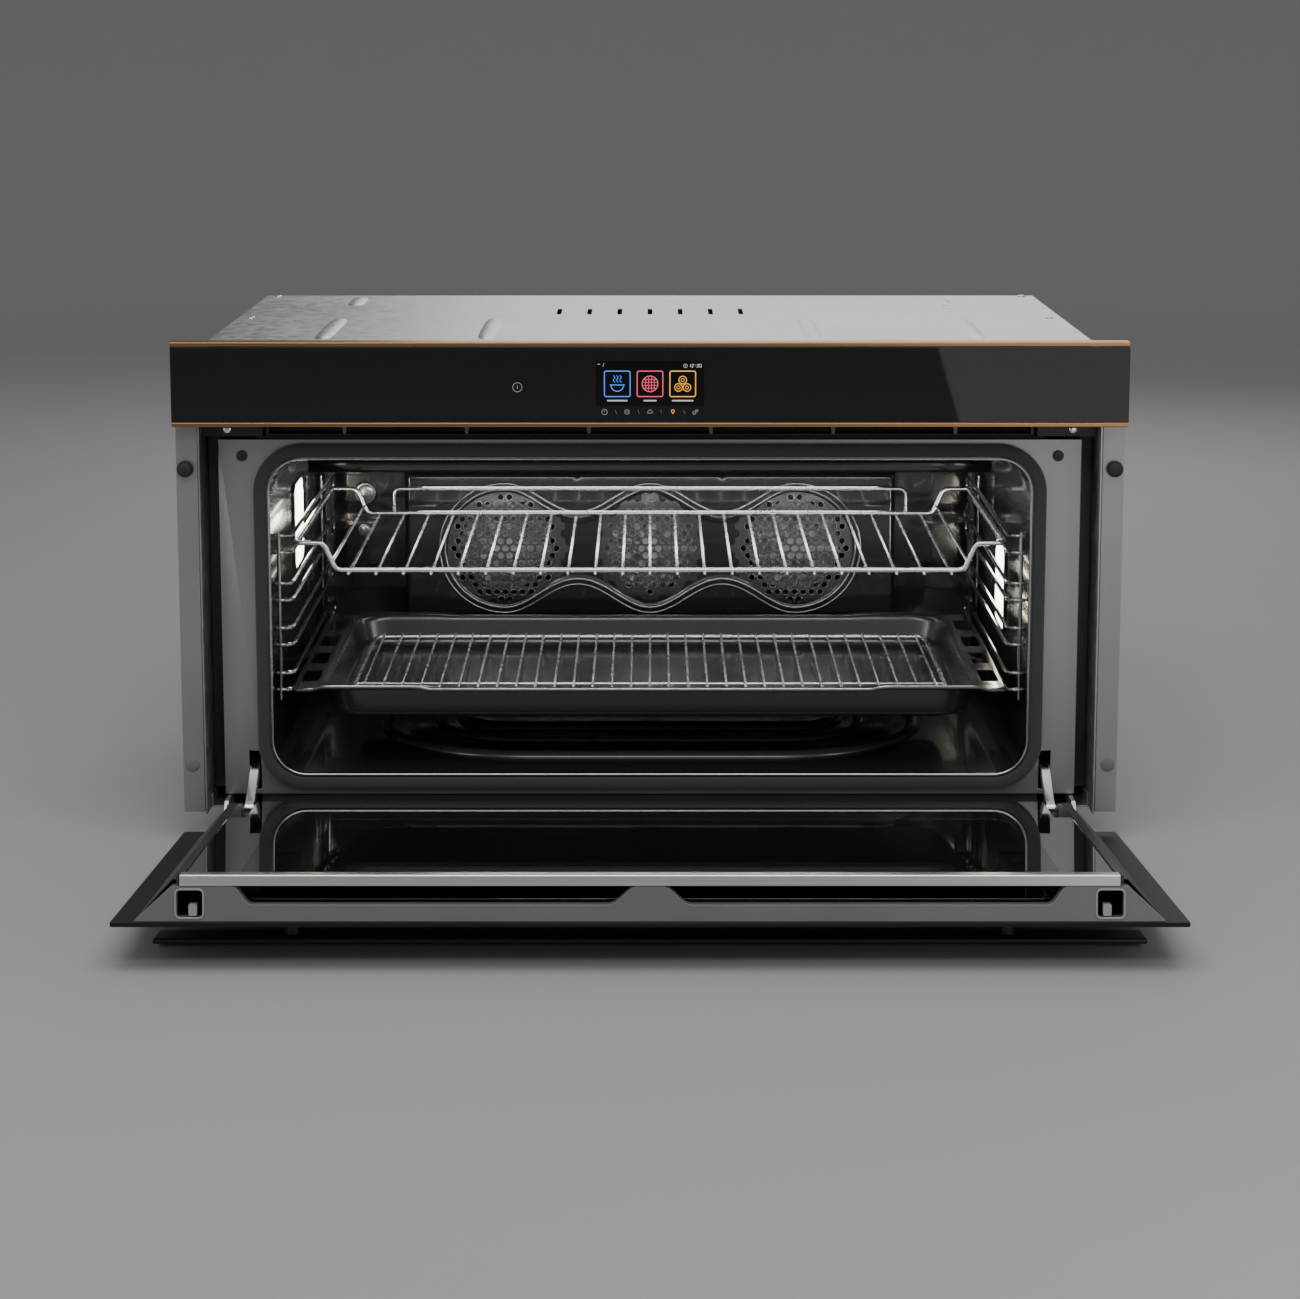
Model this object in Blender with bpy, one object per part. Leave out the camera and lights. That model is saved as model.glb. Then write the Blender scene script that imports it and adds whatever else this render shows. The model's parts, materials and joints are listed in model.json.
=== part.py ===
"""A built-in wall oven, 90 cm wide, with its drop-down door standing open.

Working axes, in millimetres: x runs across, depth runs back from the closed door's outer face, and height
runs up from the closed door's lower edge. point() turns them into the part's own frame, in metres: +Z up,
front towards -Y, and the origin in the middle of the base pan's underside.
"""

import math

import bmesh
import bpy
from mathutils import Vector

MM = 0.001
FACE_TO_ORIGIN = 297.0
FOOT_TO_BASE = 17.0
SIDES = (("left", -1), ("right", 1))
GAP = 0.3
WALL = 1.5

# Casing. A pair is a start and an end along one axis.
CASE_HALF_WIDTH = 428.0
CASE_DEPTHS = (22.3, 553.2)
CASE_HEIGHTS = (17.0, 465.2)
PAN_DEPTHS = (47.8, 553.2)
TOP_FLANGE = 14.0
REAR_DEPTHS = (553.5, 555.0)
TOP_DEPTHS = (60.0, 555.0)
TOP_HEIGHTS = (465.5, 467.0)
FLANGE_HALF_WIDTH = 448.4
FLANGE_HEIGHTS = (20.0, 396.0)
FLANGE_DEPTH = 20.5
BUMPER_X = 439.5
BUMPER_HEIGHT = 354.5
BUMPER_RADIUS = 7.7
BUMPER_THICKNESS = 8.0

# Front plate, cavity and seal
PLATE_DEPTH = 46.0
PLATE_HALF_WIDTH = 412.0
PLATE_HEIGHTS = (31.0, 378.7)
PLATE_RETURN_DEPTH = 75.0
CAVITY_HALF_WIDTH = 364.0
CAVITY_HEIGHTS = (52.0, 360.0)
CAVITY_RADIUS = 32.0
CAVITY_DEPTHS = (41.0, 475.0)
GASKET_WIDTH = 12.8
GASKET_DEPTHS = (38.9, 45.7)
BLANKET_HALF_WIDTH = 376.5
BLANKET_HEIGHTS = (21.0, 382.0)
BLANKET_INNER_HEIGHTS = (38.0, 363.0)
BLANKET_DEPTHS = (50.0, 502.0)
BLANKET_REAR = 478.0

# Fans, heaters and lamps
FAN_PITCH = 159.0
FAN_HEIGHT = 199.0
FANS = (("left", -1), ("centre", 0), ("right", 1))
BAFFLE_HALF_WIDTH = 268.0
BAFFLE_HEIGHTS = (125.0, 282.0)
BAFFLE_DEPTHS = (445.0, 474.7)
BAFFLE_SHEET = 1.2
GRILLE_HOLE_RADIUS = 16.0
GRILLE_HOLE_RING = 37.0
IMPELLER_RADIUS = 50.0
IMPELLER_HUB = 13.0
IMPELLER_BLADES = 9
IMPELLER_DEPTHS = (452.0, 470.0)
SHAFT_RADIUS = 4.0
MOTOR_RADIUS = 35.0
MOTOR_DEPTHS = (503.0, 548.0)
RING_ELEMENT_RADIUS = 64.0
ELEMENT_RADIUS = 3.2
GRILL_HEIGHT = 345.0
BASE_ELEMENT_HEIGHT = 44.0
LAMP_DEPTH = 255.0
LAMP_SIZE = (74.0, 88.0)
LAMP_X = (360.2, 363.7)
LAMP_HEIGHTS = {"left": 262.0, "right": 198.0}

# Side racks, shelf and tray
RACK_X = 356.0
RAIL_X = 346.0
RACK_DEPTHS = (60.0, 430.0)
RACK_HEIGHTS = (118.0, 289.0)
RACK_WIRE = 2.5
RAIL_WIRE = 2.0
RAIL_HEIGHTS = (131.3, 175.7, 219.7, 266.3)
RAIL_PAIR = 16.5
SHELF_DEPTHS = (85.0, 412.0)
SHELF_BAR = 2.5
SHELF_SIDE_X = 345.0
SHELF_SIDE_HEIGHT = 271.2
SHELF_DECK_HEIGHT = 244.5
SHELF_DECK_X = 306.0
SHELF_WIRE = 1.5
SHELF_WIRES = 23
SHELF_PITCH = 26.3
FENCE_X = 277.0
TRAY_DEPTHS = (48.0, 401.0)
TRAY_HALF_WIDTH = 347.0
TRAY_PAN_HALF_WIDTH = 318.0
TRAY_FLOOR_HEIGHT = 102.0
TRAY_RIM_HEIGHT = 133.6
TRAY_SHEET = 1.5
TRAY_RIM = 9.0
TRAY_CORNER = 30.0
TRAY_WINDOW_DEPTHS = (105.0, 180.0, 255.0, 330.0)
TRAY_WINDOW = (20.0, 44.0)
GRID_DEPTHS = (66.0, 383.0)
GRID_HALF_WIDTH = 296.0
GRID_HEIGHT = 114.0
GRID_PITCH = 38.2
GRID_WIRES = 15

# Control panel and the parts behind it
PANEL_HALF_WIDTH = 448.5
PANEL_GLASS_HEIGHTS = (401.6, 472.6)
GLASS_THICKNESS = 4.0
TRIM_DEPTHS = (0.0, 18.0)
TRIM_TOP_HEIGHTS = (472.9, 477.0)
TRIM_BOTTOM_HEIGHTS = (397.0, 401.3)
CARRIER_HALF_WIDTH = 411.0
CARRIER_HEIGHTS = (407.0, 471.0)
CARRIER_DEPTHS = (4.4, 45.0)
CARRIER_WALL = 2.5
DISPLAY_HALF_WIDTH = 52.0
DISPLAY_HEIGHTS = (414.0, 458.0)
DISPLAY_DEPTHS = (4.4, 17.0)
BOARD_HALF_WIDTH = 150.0
BOARD_HEIGHTS = (411.0, 467.0)
BOARD_DEPTHS = (22.0, 23.6)
OUTLET_HALF_WIDTH = 366.0
OUTLET_HEIGHTS = (383.0, 395.5)
OUTLET_DEPTHS = (46.5, 64.0)
OUTLET_PITCH = 116.4
OUTLET_WINDOWS = 7
OUTLET_END = 3.0
BLOWER_HALF_WIDTH = 160.0
BLOWER_DEPTHS = (150.0, 300.0)
BLOWER_HEIGHTS = (388.0, 450.0)
ROTOR_RADIUS = 25.0
ROTOR_HUB = 17.0
ROTOR_BLADES = 14
TERMINAL_X = (250.0, 330.0)
TERMINAL_HEIGHTS = (330.0, 372.0)
TERMINAL_DEPTHS = (555.3, 572.0)
LOCK_X = (369.0, 426.0)
LOCK_DEPTHS = (46.0, 90.0)
LOCK_HEIGHTS = (386.0, 410.0)
HOOK_X = (-388.0, -380.0)
HOOK_PIVOT = (64.0, 399.5)
HOOK_PIN_RADIUS = 2.0
HOOK_REACH = 42.0

# Door, drawn closed
DOOR_OPEN_ANGLE = math.radians(85.0)
DOOR_PIVOT = (10.0, 8.0)
DOOR_GLASS_TOP = 394.0
MIDDLE_GLASS_HALF_WIDTH = 365.0
MIDDLE_GLASS_DEPTHS = (18.0, 21.0)
MIDDLE_GLASS_HEIGHTS = (40.0, 378.0)
INNER_GLASS_HALF_WIDTH = 390.0
INNER_GLASS_DEPTHS = (34.5, 38.5)
INNER_GLASS_HEIGHTS = (30.0, 380.7)
GLASS_NOTCH_X = 374.0
GLASS_NOTCH_TOP = 110.0
COLUMN_X = (391.0, 429.0)
COLUMN_BACK_X = 398.0
COLUMN_DEPTHS = (4.3, 38.5)
COLUMN_HEIGHTS = (36.0, 381.0)
COVER_DEPTHS = (4.3, 34.2)
COVER_HALF_WIDTHS = (429.0, 397.0)
COVER_HEIGHTS = (382.0, 393.0)
COVER_NOTCH_FLOOR_X = (34.0, 331.0)
COVER_NOTCH_MOUTH_X = (11.0, 346.0)
COVER_NOTCH_STEPS = 5
COVER_NOTCH_DEPTH = 18.8
LOCK_WINDOW_X = (371.0, 393.0)
LOCK_WINDOW_DEPTHS = (8.0, 31.0)
INNER_TRIM_HALF_WIDTH = 390.0
INNER_TRIM_DEPTHS = (34.5, 44.0)
INNER_TRIM_HEIGHTS = (381.0, 393.5)
RAIL_HALF_WIDTH = 403.5
RAIL_DEPTHS = (4.3, 34.0)
RAIL_RISE = (16.0, 28.0)
RAIL_CHANNEL_HALF_WIDTH = 366.0
LUG_X = (398.0, 403.5)
LUG_RADIUS = 5.5
HANDLE_HALF_WIDTH = 425.0
HANDLE_DEPTHS = (-31.0, -26.0)
HANDLE_HEIGHTS = (288.0, 322.0)
HANDLE_POST_X = 307.0
HANDLE_POST_RADIUS = 7.0

# Hinges
HINGE_PIN_RADIUS = 3.0
BRACKET_X = (406.0, 410.0)
BRACKET_PIN_X = 397.5
BRACKET_RADIUS = 5.0
BRACKET_DEPTHS = (24.0, 110.0)
BRACKET_HEIGHTS = (18.8, 30.0)
ARM_X = (378.0, 387.0)
ARM_PIN = (30.0, 20.0)
ARM_PIN_RADIUS = 2.5
ARM_EYE_RADIUS = 6.5
ARM_HALF_HEIGHT = 4.2
ARM_ROUTE = ((14.0, 38.0), (34.0, 51.0), (54.0, 59.5), (76.0, 63.0), (104.0, 64.0))
ARM_SLOT_X = (376.8, 388.2)
ARM_SLOT_HEIGHTS = (36.0, 74.0)

# Finishes: colour, roughness and metallic value
ZINC = ((0.42, 0.43, 0.44), 0.45, 1.0)
GREY_SHEET = ((0.27, 0.27, 0.27), 0.4, 1.0)
DARK_ENAMEL = ((0.025, 0.026, 0.028), 0.3, 0.0)
BLACK_PLASTIC = ((0.02, 0.02, 0.021), 0.5, 0.0)
GREY_PLASTIC = ((0.16, 0.17, 0.17), 0.5, 0.0)
BLACK_GLASS = ((0.012, 0.012, 0.013), 0.06, 0.0)
CLEAR_GLASS = ((0.55, 0.58, 0.57), 0.05, 0.0)
BRIGHT_WIRE = ((0.62, 0.62, 0.62), 0.2, 1.0)
COPPER_TRIM = ((0.42, 0.28, 0.21), 0.3, 1.0)
RUBBER = ((0.02, 0.02, 0.02), 0.7, 0.0)
GASKET_CORD = ((0.08, 0.08, 0.08), 0.9, 0.0)
MINERAL_WOOL = ((0.55, 0.5, 0.38), 0.95, 0.0)
CIRCUIT_BOARD = ((0.02, 0.12, 0.05), 0.5, 0.0)
LAMP_GLASS = ((0.9, 0.85, 0.75), 0.2, 0.0)


def point(x, depth, height):
    """The place of a point given in the working axes, in metres in the part's frame."""
    return Vector((x, depth - FACE_TO_ORIGIN, height - FOOT_TO_BASE)) * MM


# ---- Outlines, as lists of two-number points ----


def rectangle(low, high, bottom, top):
    return [(low, bottom), (high, bottom), (high, top), (low, top)]


def rounded(low, high, bottom, top, radius, steps=5):
    """A rectangle whose corners are arcs of the same radius."""
    corners = ((high, bottom, -1, 1), (high, top, 0, 1), (low, top, 1, 1), (low, bottom, 2, 1))
    outline = []
    for a, b, quarter, _ in corners:
        centre_a = a - radius if a == high else a + radius
        centre_b = b - radius if b == top else b + radius
        for step in range(steps + 1):
            angle = math.pi / 2 * (quarter + step / steps)
            outline.append((centre_a + radius * math.cos(angle), centre_b + radius * math.sin(angle)))
    return outline


def circle(a, b, radius, steps=20):
    turns = [2 * math.pi * step / steps for step in range(steps)]
    return [(a + radius * math.cos(turn), b + radius * math.sin(turn)) for turn in turns]


def bent_sheet(line, thickness):
    """The outline of a strip bent along a line, with its thickness to the left of the line's direction."""
    ways = []
    for (a0, b0), (a1, b1) in zip(line, line[1:]):
        length = math.hypot(a1 - a0, b1 - b0)
        ways.append((-(b1 - b0) / length, (a1 - a0) / length))
    shifted = []
    for i, (a, b) in enumerate(line):
        before, after = ways[max(i - 1, 0)], ways[min(i, len(ways) - 1)]
        spread = thickness / (1 + before[0] * after[0] + before[1] * after[1])
        shifted.append((a + spread * (before[0] + after[0]), b + spread * (before[1] + after[1])))
    return list(line) + shifted[::-1]


def bladed(a, b, hub, tip, count, thickness):
    """A hub with straight radial blades, as one outline."""
    outline = []
    for blade in range(count):
        turn = 2 * math.pi * blade / count
        for radius, edge in ((hub, -1), (tip, -1), (tip, 1), (hub, 1)):
            angle = turn + edge * math.asin(thickness / 2 / radius)
            outline.append((a + radius * math.cos(angle), b + radius * math.sin(angle)))
    return outline


# ---- Solids, added to a bmesh ----


def placer(across):
    """How an outline's two numbers and its place along the axis `across` make a point."""
    return {
        "x": lambda a, b, c: point(c, a, b),
        "depth": lambda a, b, c: point(a, c, b),
        "height": lambda a, b, c: point(a, b, c),
    }[across]


def prism(bm, loops, across, start, end):
    """The solid between two copies of a flat shape: its outer loop first, and then its holes."""
    place = placer(across)
    edges = []
    for loop in loops:
        corners = [bm.verts.new(place(a, b, start)) for a, b in loop]
        edges += [bm.edges.new((corners[i - 1], corner)) for i, corner in enumerate(corners)]
    filled = bmesh.ops.triangle_fill(bm, use_beauty=True, edges=edges)
    faces = [item for item in filled["geom"] if isinstance(item, bmesh.types.BMFace)]
    copied = bmesh.ops.extrude_face_region(bm, geom=faces)
    moved = [item for item in copied["geom"] if isinstance(item, bmesh.types.BMVert)]
    bmesh.ops.translate(bm, verts=moved, vec=place(0, 0, end) - place(0, 0, start))


def block(bm, xs, depths, heights):
    prism(bm, [rectangle(*xs, *heights)], "depth", *depths)


def stack(bm, rings, across):
    """A closed body from outlines with equal numbers of points: neighbours are bridged, the ends filled."""
    place = placer(across)
    loops = [[bm.verts.new(place(a, b, at)) for a, b in outline] for outline, at in rings]
    for lower, upper in zip(loops, loops[1:]):
        for i in range(len(lower)):
            bm.faces.new((lower[i - 1], lower[i], upper[i], upper[i - 1]))
    bm.faces.new(loops[0])
    bm.faces.new(loops[-1])


def tray_box(bm, outer, inner, across, floor, mouth, wall):
    """A box open at `mouth`, from an outer and an inner outline; its floor is `wall` thick."""
    inside = floor + math.copysign(wall, mouth - floor)
    stack(bm, [(inner, inside), (inner, mouth), (outer, mouth), (outer, floor)], across)


def soften(path, radius, steps=3, closed=False):
    """The path with each corner replaced by a short curve that starts and ends `radius` away from it."""
    spots = [Vector(spot) for spot in path]
    smooth = []
    for i, corner in enumerate(spots):
        if not closed and i in (0, len(spots) - 1):
            smooth.append(corner)
            continue
        before, after = spots[i - 1], spots[(i + 1) % len(spots)]
        start = corner + (before - corner).normalized() * radius
        end = corner + (after - corner).normalized() * radius
        for step in range(steps + 1):
            t = step / steps
            smooth.append(start * (1 - t) ** 2 + corner * 2 * t * (1 - t) + end * t**2)
    return smooth


def wire(bm, path, radius, sides=6, closed=False):
    """A round wire along a path in the working axes, its section turned as little as it can be."""
    spots = [point(*spot) for spot in path]
    count = len(spots)
    across = None
    rings = []
    for i, spot in enumerate(spots):
        after = spots[(i + 1) % count] if closed or i < count - 1 else spot
        before = spots[i - 1] if closed or i else spot
        along = (after - before).normalized()
        if across is None:
            across = along.orthogonal().normalized()
        across = (across - along * across.dot(along)).normalized()
        up = along.cross(across)
        turns = [2 * math.pi * side / sides for side in range(sides)]
        rings.append(
            [
                bm.verts.new(spot + (across * math.cos(turn) + up * math.sin(turn)) * radius * MM)
                for turn in turns
            ]
        )
    for i in range(0 if closed else 1, count):
        for side in range(sides):
            bm.faces.new((rings[i - 1][side - 1], rings[i - 1][side], rings[i][side], rings[i][side - 1]))
    if not closed:
        bm.faces.new(rings[0])
        bm.faces.new(rings[-1])


# ---- Objects ----


def make_object(name, bm, centre, parent):
    bmesh.ops.translate(bm, verts=bm.verts, vec=-centre)
    bmesh.ops.recalc_face_normals(bm, faces=bm.faces)
    mesh = bpy.data.meshes.new(name)
    bm.to_mesh(mesh)
    bm.free()
    made = bpy.data.objects.new(name, mesh)
    bpy.context.scene.collection.objects.link(made)
    made["centre"] = centre
    if parent:
        made.parent = parent
    else:
        made.location = centre
    return made


def make_part(name, bm, finish, centre=None, parent=None):
    """A sub-part whose origin is at `centre`; a door part takes its place from the door's pivot."""
    if parent:
        centre = point(0, *DOOR_PIVOT)
    part = make_object(name, bm, centre or Vector(), parent)
    colour, roughness, metallic = finish
    material = bpy.data.materials.new(name)
    material.use_nodes = True
    shader = material.node_tree.nodes["Principled BSDF"]
    shader.inputs["Base Color"].default_value = (*colour, 1)
    shader.inputs["Roughness"].default_value = roughness
    shader.inputs["Metallic"].default_value = metallic
    part.data.materials.append(material)
    part.data.shade_smooth()
    part.data.set_sharp_from_angle(angle=math.radians(35))
    return part


def combine(part, bm, operation):
    """Joins a helper solid to the part, or cuts it out, with a Boolean."""
    helper = make_object(f"{part.name}_{operation.lower()}", bm, Vector(part["centre"]), part.parent)
    helper.hide_render = True
    helper.display_type = "WIRE"
    modifier = part.modifiers.new(helper.name, "BOOLEAN")
    modifier.operation = operation
    modifier.solver = "EXACT"
    modifier.object = helper


def join(part, bm):
    combine(part, bm, "UNION")


def cut(part, bm):
    combine(part, bm, "DIFFERENCE")


def mirrored(outline, side):
    return [(side * a, b) for a, b in outline]


def sided(side, span):
    return sorted(side * value for value in span)


# ---- Casing ----


def vent_slots(first, pitch, count, length, low):
    """Upright slots with round ends, in a row."""
    return [
        rounded(first + i * pitch - 2.5, first + i * pitch + 2.5, low, low + length, 2.49, 1)
        for i in range(count)
    ]


def make_casing():
    pan_half = CASE_HALF_WIDTH - WALL - GAP
    low = CASE_HEIGHTS[0]
    bm = bmesh.new()
    line = [(-pan_half, low + 13), (-pan_half, low), (pan_half, low), (pan_half, low + 13)]
    prism(bm, [bent_sheet(line, WALL)], "depth", *PAN_DEPTHS)
    make_part("base_pan", bm, ZINC)

    for name, side in SIDES:
        outer, top = CASE_HALF_WIDTH, CASE_HEIGHTS[1]
        bm = bmesh.new()
        line = [(outer - TOP_FLANGE, top), (outer, top), (outer, low)]
        prism(bm, [mirrored(bent_sheet(line, -WALL), side)], "depth", *CASE_DEPTHS)
        panel = make_part(f"side_panel_{name}", bm, ZINC)
        bm = bmesh.new()
        for slot in vent_slots(430, 16, 5, 60, 330):
            prism(bm, [slot], "x", *sided(side, (outer - 4, outer + 4)))
        cut(panel, bm)

        bm = bmesh.new()
        leg = outer + GAP
        line = [(leg, FLANGE_DEPTH + 20), (leg, FLANGE_DEPTH), (FLANGE_HALF_WIDTH, FLANGE_DEPTH)]
        prism(bm, [mirrored(bent_sheet(line, 1.2), side)], "height", *FLANGE_HEIGHTS)
        make_part(f"mounting_flange_{name}", bm, GREY_SHEET)

        bm = bmesh.new()
        face = FLANGE_DEPTH - GAP
        rim = circle(side * BUMPER_X, BUMPER_HEIGHT, BUMPER_RADIUS)
        crown = circle(side * BUMPER_X, BUMPER_HEIGHT, BUMPER_RADIUS - 2)
        tip = face - BUMPER_THICKNESS
        stack(bm, [(rim, face), (rim, tip + 2), (crown, tip)], "depth")
        make_part(f"bumper_{name}", bm, RUBBER)

    bm = bmesh.new()
    outline = rectangle(-CASE_HALF_WIDTH, CASE_HALF_WIDTH, *CASE_HEIGHTS)
    vents = vent_slots(-320, 28, 6, 70, 60) + vent_slots(180, 28, 6, 70, 60)
    prism(bm, [outline, *vents], "depth", *REAR_DEPTHS)
    make_part("rear_cover", bm, ZINC)

    bm = bmesh.new()
    outline = rectangle(-CASE_HALF_WIDTH, CASE_HALF_WIDTH, *TOP_DEPTHS)
    prism(bm, [outline, *vent_slots(-96, 32, 7, 60, 350)], "height", *TOP_HEIGHTS)
    make_part("top_cover", bm, ZINC)

    bm = bmesh.new()
    block(bm, TERMINAL_X, TERMINAL_DEPTHS, TERMINAL_HEIGHTS)
    terminals = make_part("terminal_block", bm, BLACK_PLASTIC)
    bm = bmesh.new()
    middle = sum(TERMINAL_X) / 2
    for offset in (-24, 0, 24):
        hole = circle(middle + offset, sum(TERMINAL_DEPTHS) / 2, 4, 12)
        prism(bm, [hole], "height", TERMINAL_HEIGHTS[0] - 5, TERMINAL_HEIGHTS[0] + 24)
    cut(terminals, bm)


# ---- Cavity ----


def cavity_outline(grow):
    """The cavity's rounded front view, grown outwards by `grow`."""
    half = CAVITY_HALF_WIDTH + grow
    bottom, top = CAVITY_HEIGHTS[0] - grow, CAVITY_HEIGHTS[1] + grow
    return rounded(-half, half, bottom, top, CAVITY_RADIUS + grow)


def fan_places():
    return [(name, place * FAN_PITCH) for name, place in FANS]


def make_cavity():
    front, rear = CAVITY_DEPTHS
    bm = bmesh.new()
    tray_box(bm, cavity_outline(WALL), cavity_outline(0), "depth", rear + WALL, front, WALL)
    liner = make_part("cavity_liner", bm, DARK_ENAMEL)
    bm = bmesh.new()
    for _, x in fan_places():
        prism(bm, [circle(x, FAN_HEIGHT, 7, 12)], "depth", rear - 5, rear + 5)
    cut(liner, bm)

    bm = bmesh.new()
    inner = WALL + 0.7
    prism(bm, [cavity_outline(inner + GASKET_WIDTH), cavity_outline(inner)], "depth", *GASKET_DEPTHS)
    make_part("door_gasket", bm, GASKET_CORD)

    bm = bmesh.new()
    inner = rectangle(-CAVITY_HALF_WIDTH - 2.5, CAVITY_HALF_WIDTH + 2.5, *BLANKET_INNER_HEIGHTS)
    outer = rectangle(-BLANKET_HALF_WIDTH, BLANKET_HALF_WIDTH, *BLANKET_HEIGHTS)
    wall = BLANKET_DEPTHS[1] - BLANKET_REAR
    tray_box(bm, outer, inner, "depth", BLANKET_DEPTHS[1], BLANKET_DEPTHS[0], wall)
    blanket = make_part("insulation_blanket", bm, MINERAL_WOOL)
    bm = bmesh.new()
    for _, x in fan_places():
        prism(bm, [circle(x, FAN_HEIGHT, 14, 12)], "depth", BLANKET_REAR - 5, BLANKET_DEPTHS[1] + 5)
    cut(blanket, bm)

    half, back = PLATE_HALF_WIDTH, PLATE_RETURN_DEPTH
    wing = CASE_HALF_WIDTH - WALL - GAP
    line = [(-wing, back), (-half, back), (-half, PLATE_DEPTH)]
    line += [(-a, b) for a, b in line[::-1]]
    bm = bmesh.new()
    prism(bm, [bent_sheet(line, WALL)], "height", *PLATE_HEIGHTS)
    plate = make_part("front_plate", bm, GREY_SHEET)
    bm = bmesh.new()
    prism(bm, [cavity_outline(WALL + GAP)], "depth", PLATE_DEPTH - 5, PLATE_DEPTH + 5)
    for _, side in SIDES:
        block(bm, sided(side, ARM_SLOT_X), (PLATE_DEPTH - 5, PLATE_DEPTH + 5), ARM_SLOT_HEIGHTS)
    cut(plate, bm)


def make_fans():
    bm = bmesh.new()
    outer = rounded(-BAFFLE_HALF_WIDTH, BAFFLE_HALF_WIDTH, *BAFFLE_HEIGHTS, 12, 3)
    inset = BAFFLE_SHEET
    heights = (BAFFLE_HEIGHTS[0] + inset, BAFFLE_HEIGHTS[1] - inset)
    inner = rounded(inset - BAFFLE_HALF_WIDTH, BAFFLE_HALF_WIDTH - inset, *heights, 12 - inset, 3)
    tray_box(bm, outer, inner, "depth", *BAFFLE_DEPTHS, BAFFLE_SHEET)
    baffle = make_part("fan_baffle", bm, DARK_ENAMEL)
    bm = bmesh.new()
    for _, x in fan_places():
        spots = [(x, FAN_HEIGHT)] + circle(x, FAN_HEIGHT, GRILLE_HOLE_RING, 6)
        for a, b in spots:
            near = BAFFLE_DEPTHS[0] - 5
            prism(bm, [circle(a, b, GRILLE_HOLE_RADIUS, 6)], "depth", near, near + 10)
    for _, side in SIDES:
        block(bm, sided(side, (BAFFLE_HALF_WIDTH - 5, BAFFLE_HALF_WIDTH + 5)), (454, 468), (150, 250))
    cut(baffle, bm)

    for name, x in fan_places():
        near, far = IMPELLER_DEPTHS
        bm = bmesh.new()
        blades = bladed(x, FAN_HEIGHT, IMPELLER_HUB, IMPELLER_RADIUS - 2, IMPELLER_BLADES, 2.4)
        prism(bm, [blades], "depth", near, far - 1.5)
        fan = make_part(f"fan_{name}", bm, ZINC, point(x, sum(IMPELLER_DEPTHS) / 2, FAN_HEIGHT))
        bm = bmesh.new()
        disc = circle(x, FAN_HEIGHT, IMPELLER_RADIUS)
        shaft = circle(x, FAN_HEIGHT, SHAFT_RADIUS)
        stack(bm, [(disc, far - 2), (disc, far), (shaft, far), (shaft, MOTOR_DEPTHS[0] - GAP)], "depth")
        join(fan, bm)

        bm = bmesh.new()
        drum = circle(x, FAN_HEIGHT, MOTOR_RADIUS)
        cap = circle(x, FAN_HEIGHT, MOTOR_RADIUS - 8)
        stack(bm, [(drum, MOTOR_DEPTHS[0]), (drum, MOTOR_DEPTHS[1] - 6), (cap, MOTOR_DEPTHS[1])], "depth")
        make_part(f"fan_motor_{name}", bm, ZINC)

        bm = bmesh.new()
        ring = circle(x, FAN_HEIGHT, RING_ELEMENT_RADIUS)
        wire(bm, [(a, sum(IMPELLER_DEPTHS) / 2, b) for a, b in ring], ELEMENT_RADIUS, closed=True)
        make_part(f"ring_element_{name}", bm, BLACK_PLASTIC)


def heater_path(height, half_width, depths, passes):
    """A heating rod that runs from side to side, stepping backwards after each pass."""
    path = []
    step = (depths[1] - depths[0]) / (passes - 1)
    for i in range(passes):
        ends = (-half_width, half_width) if i % 2 == 0 else (half_width, -half_width)
        path += [(x, depths[0] + i * step, height) for x in ends]
    return soften(path, 24, 3)


def make_heaters():
    bm = bmesh.new()
    wire(bm, heater_path(GRILL_HEIGHT, 300, (90, 410), 6), ELEMENT_RADIUS, 5)
    make_part("grill_element", bm, BLACK_PLASTIC)
    bm = bmesh.new()
    wire(bm, heater_path(BASE_ELEMENT_HEIGHT, 320, (100, 440), 4), ELEMENT_RADIUS)
    make_part("base_element", bm, BLACK_PLASTIC)


def make_side_fittings():
    for name, side in SIDES:
        x = side * RACK_X
        near, far = RACK_DEPTHS
        bottom, top = RACK_HEIGHTS
        bm = bmesh.new()
        for level in RAIL_HEIGHTS:
            for height in (level, level + RAIL_PAIR):
                spots = [(x, near), (side * RAIL_X, near), (side * RAIL_X, far), (x, far)]
                wire(bm, soften([(a, b, height) for a, b in spots], 5, 1), RAIL_WIRE, 5)
        rack = make_part(f"side_rack_{name}", bm, BRIGHT_WIRE)
        bm = bmesh.new()
        corners = [(x, near, bottom), (x, far, bottom), (x, far, top), (x, near, top)]
        wire(bm, soften(corners, 12, 2, True), RACK_WIRE, closed=True)
        join(rack, bm)

        bm = bmesh.new()
        deep, tall = (size / 2 for size in LAMP_SIZE)
        height = LAMP_HEIGHTS[name]
        outline = rounded(LAMP_DEPTH - deep, LAMP_DEPTH + deep, height - tall, height + tall, 10, 3)
        prism(bm, [outline], "x", *sided(side, LAMP_X))
        make_part(f"lamp_lens_{name}", bm, LAMP_GLASS)


# ---- Shelf and tray ----


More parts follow.
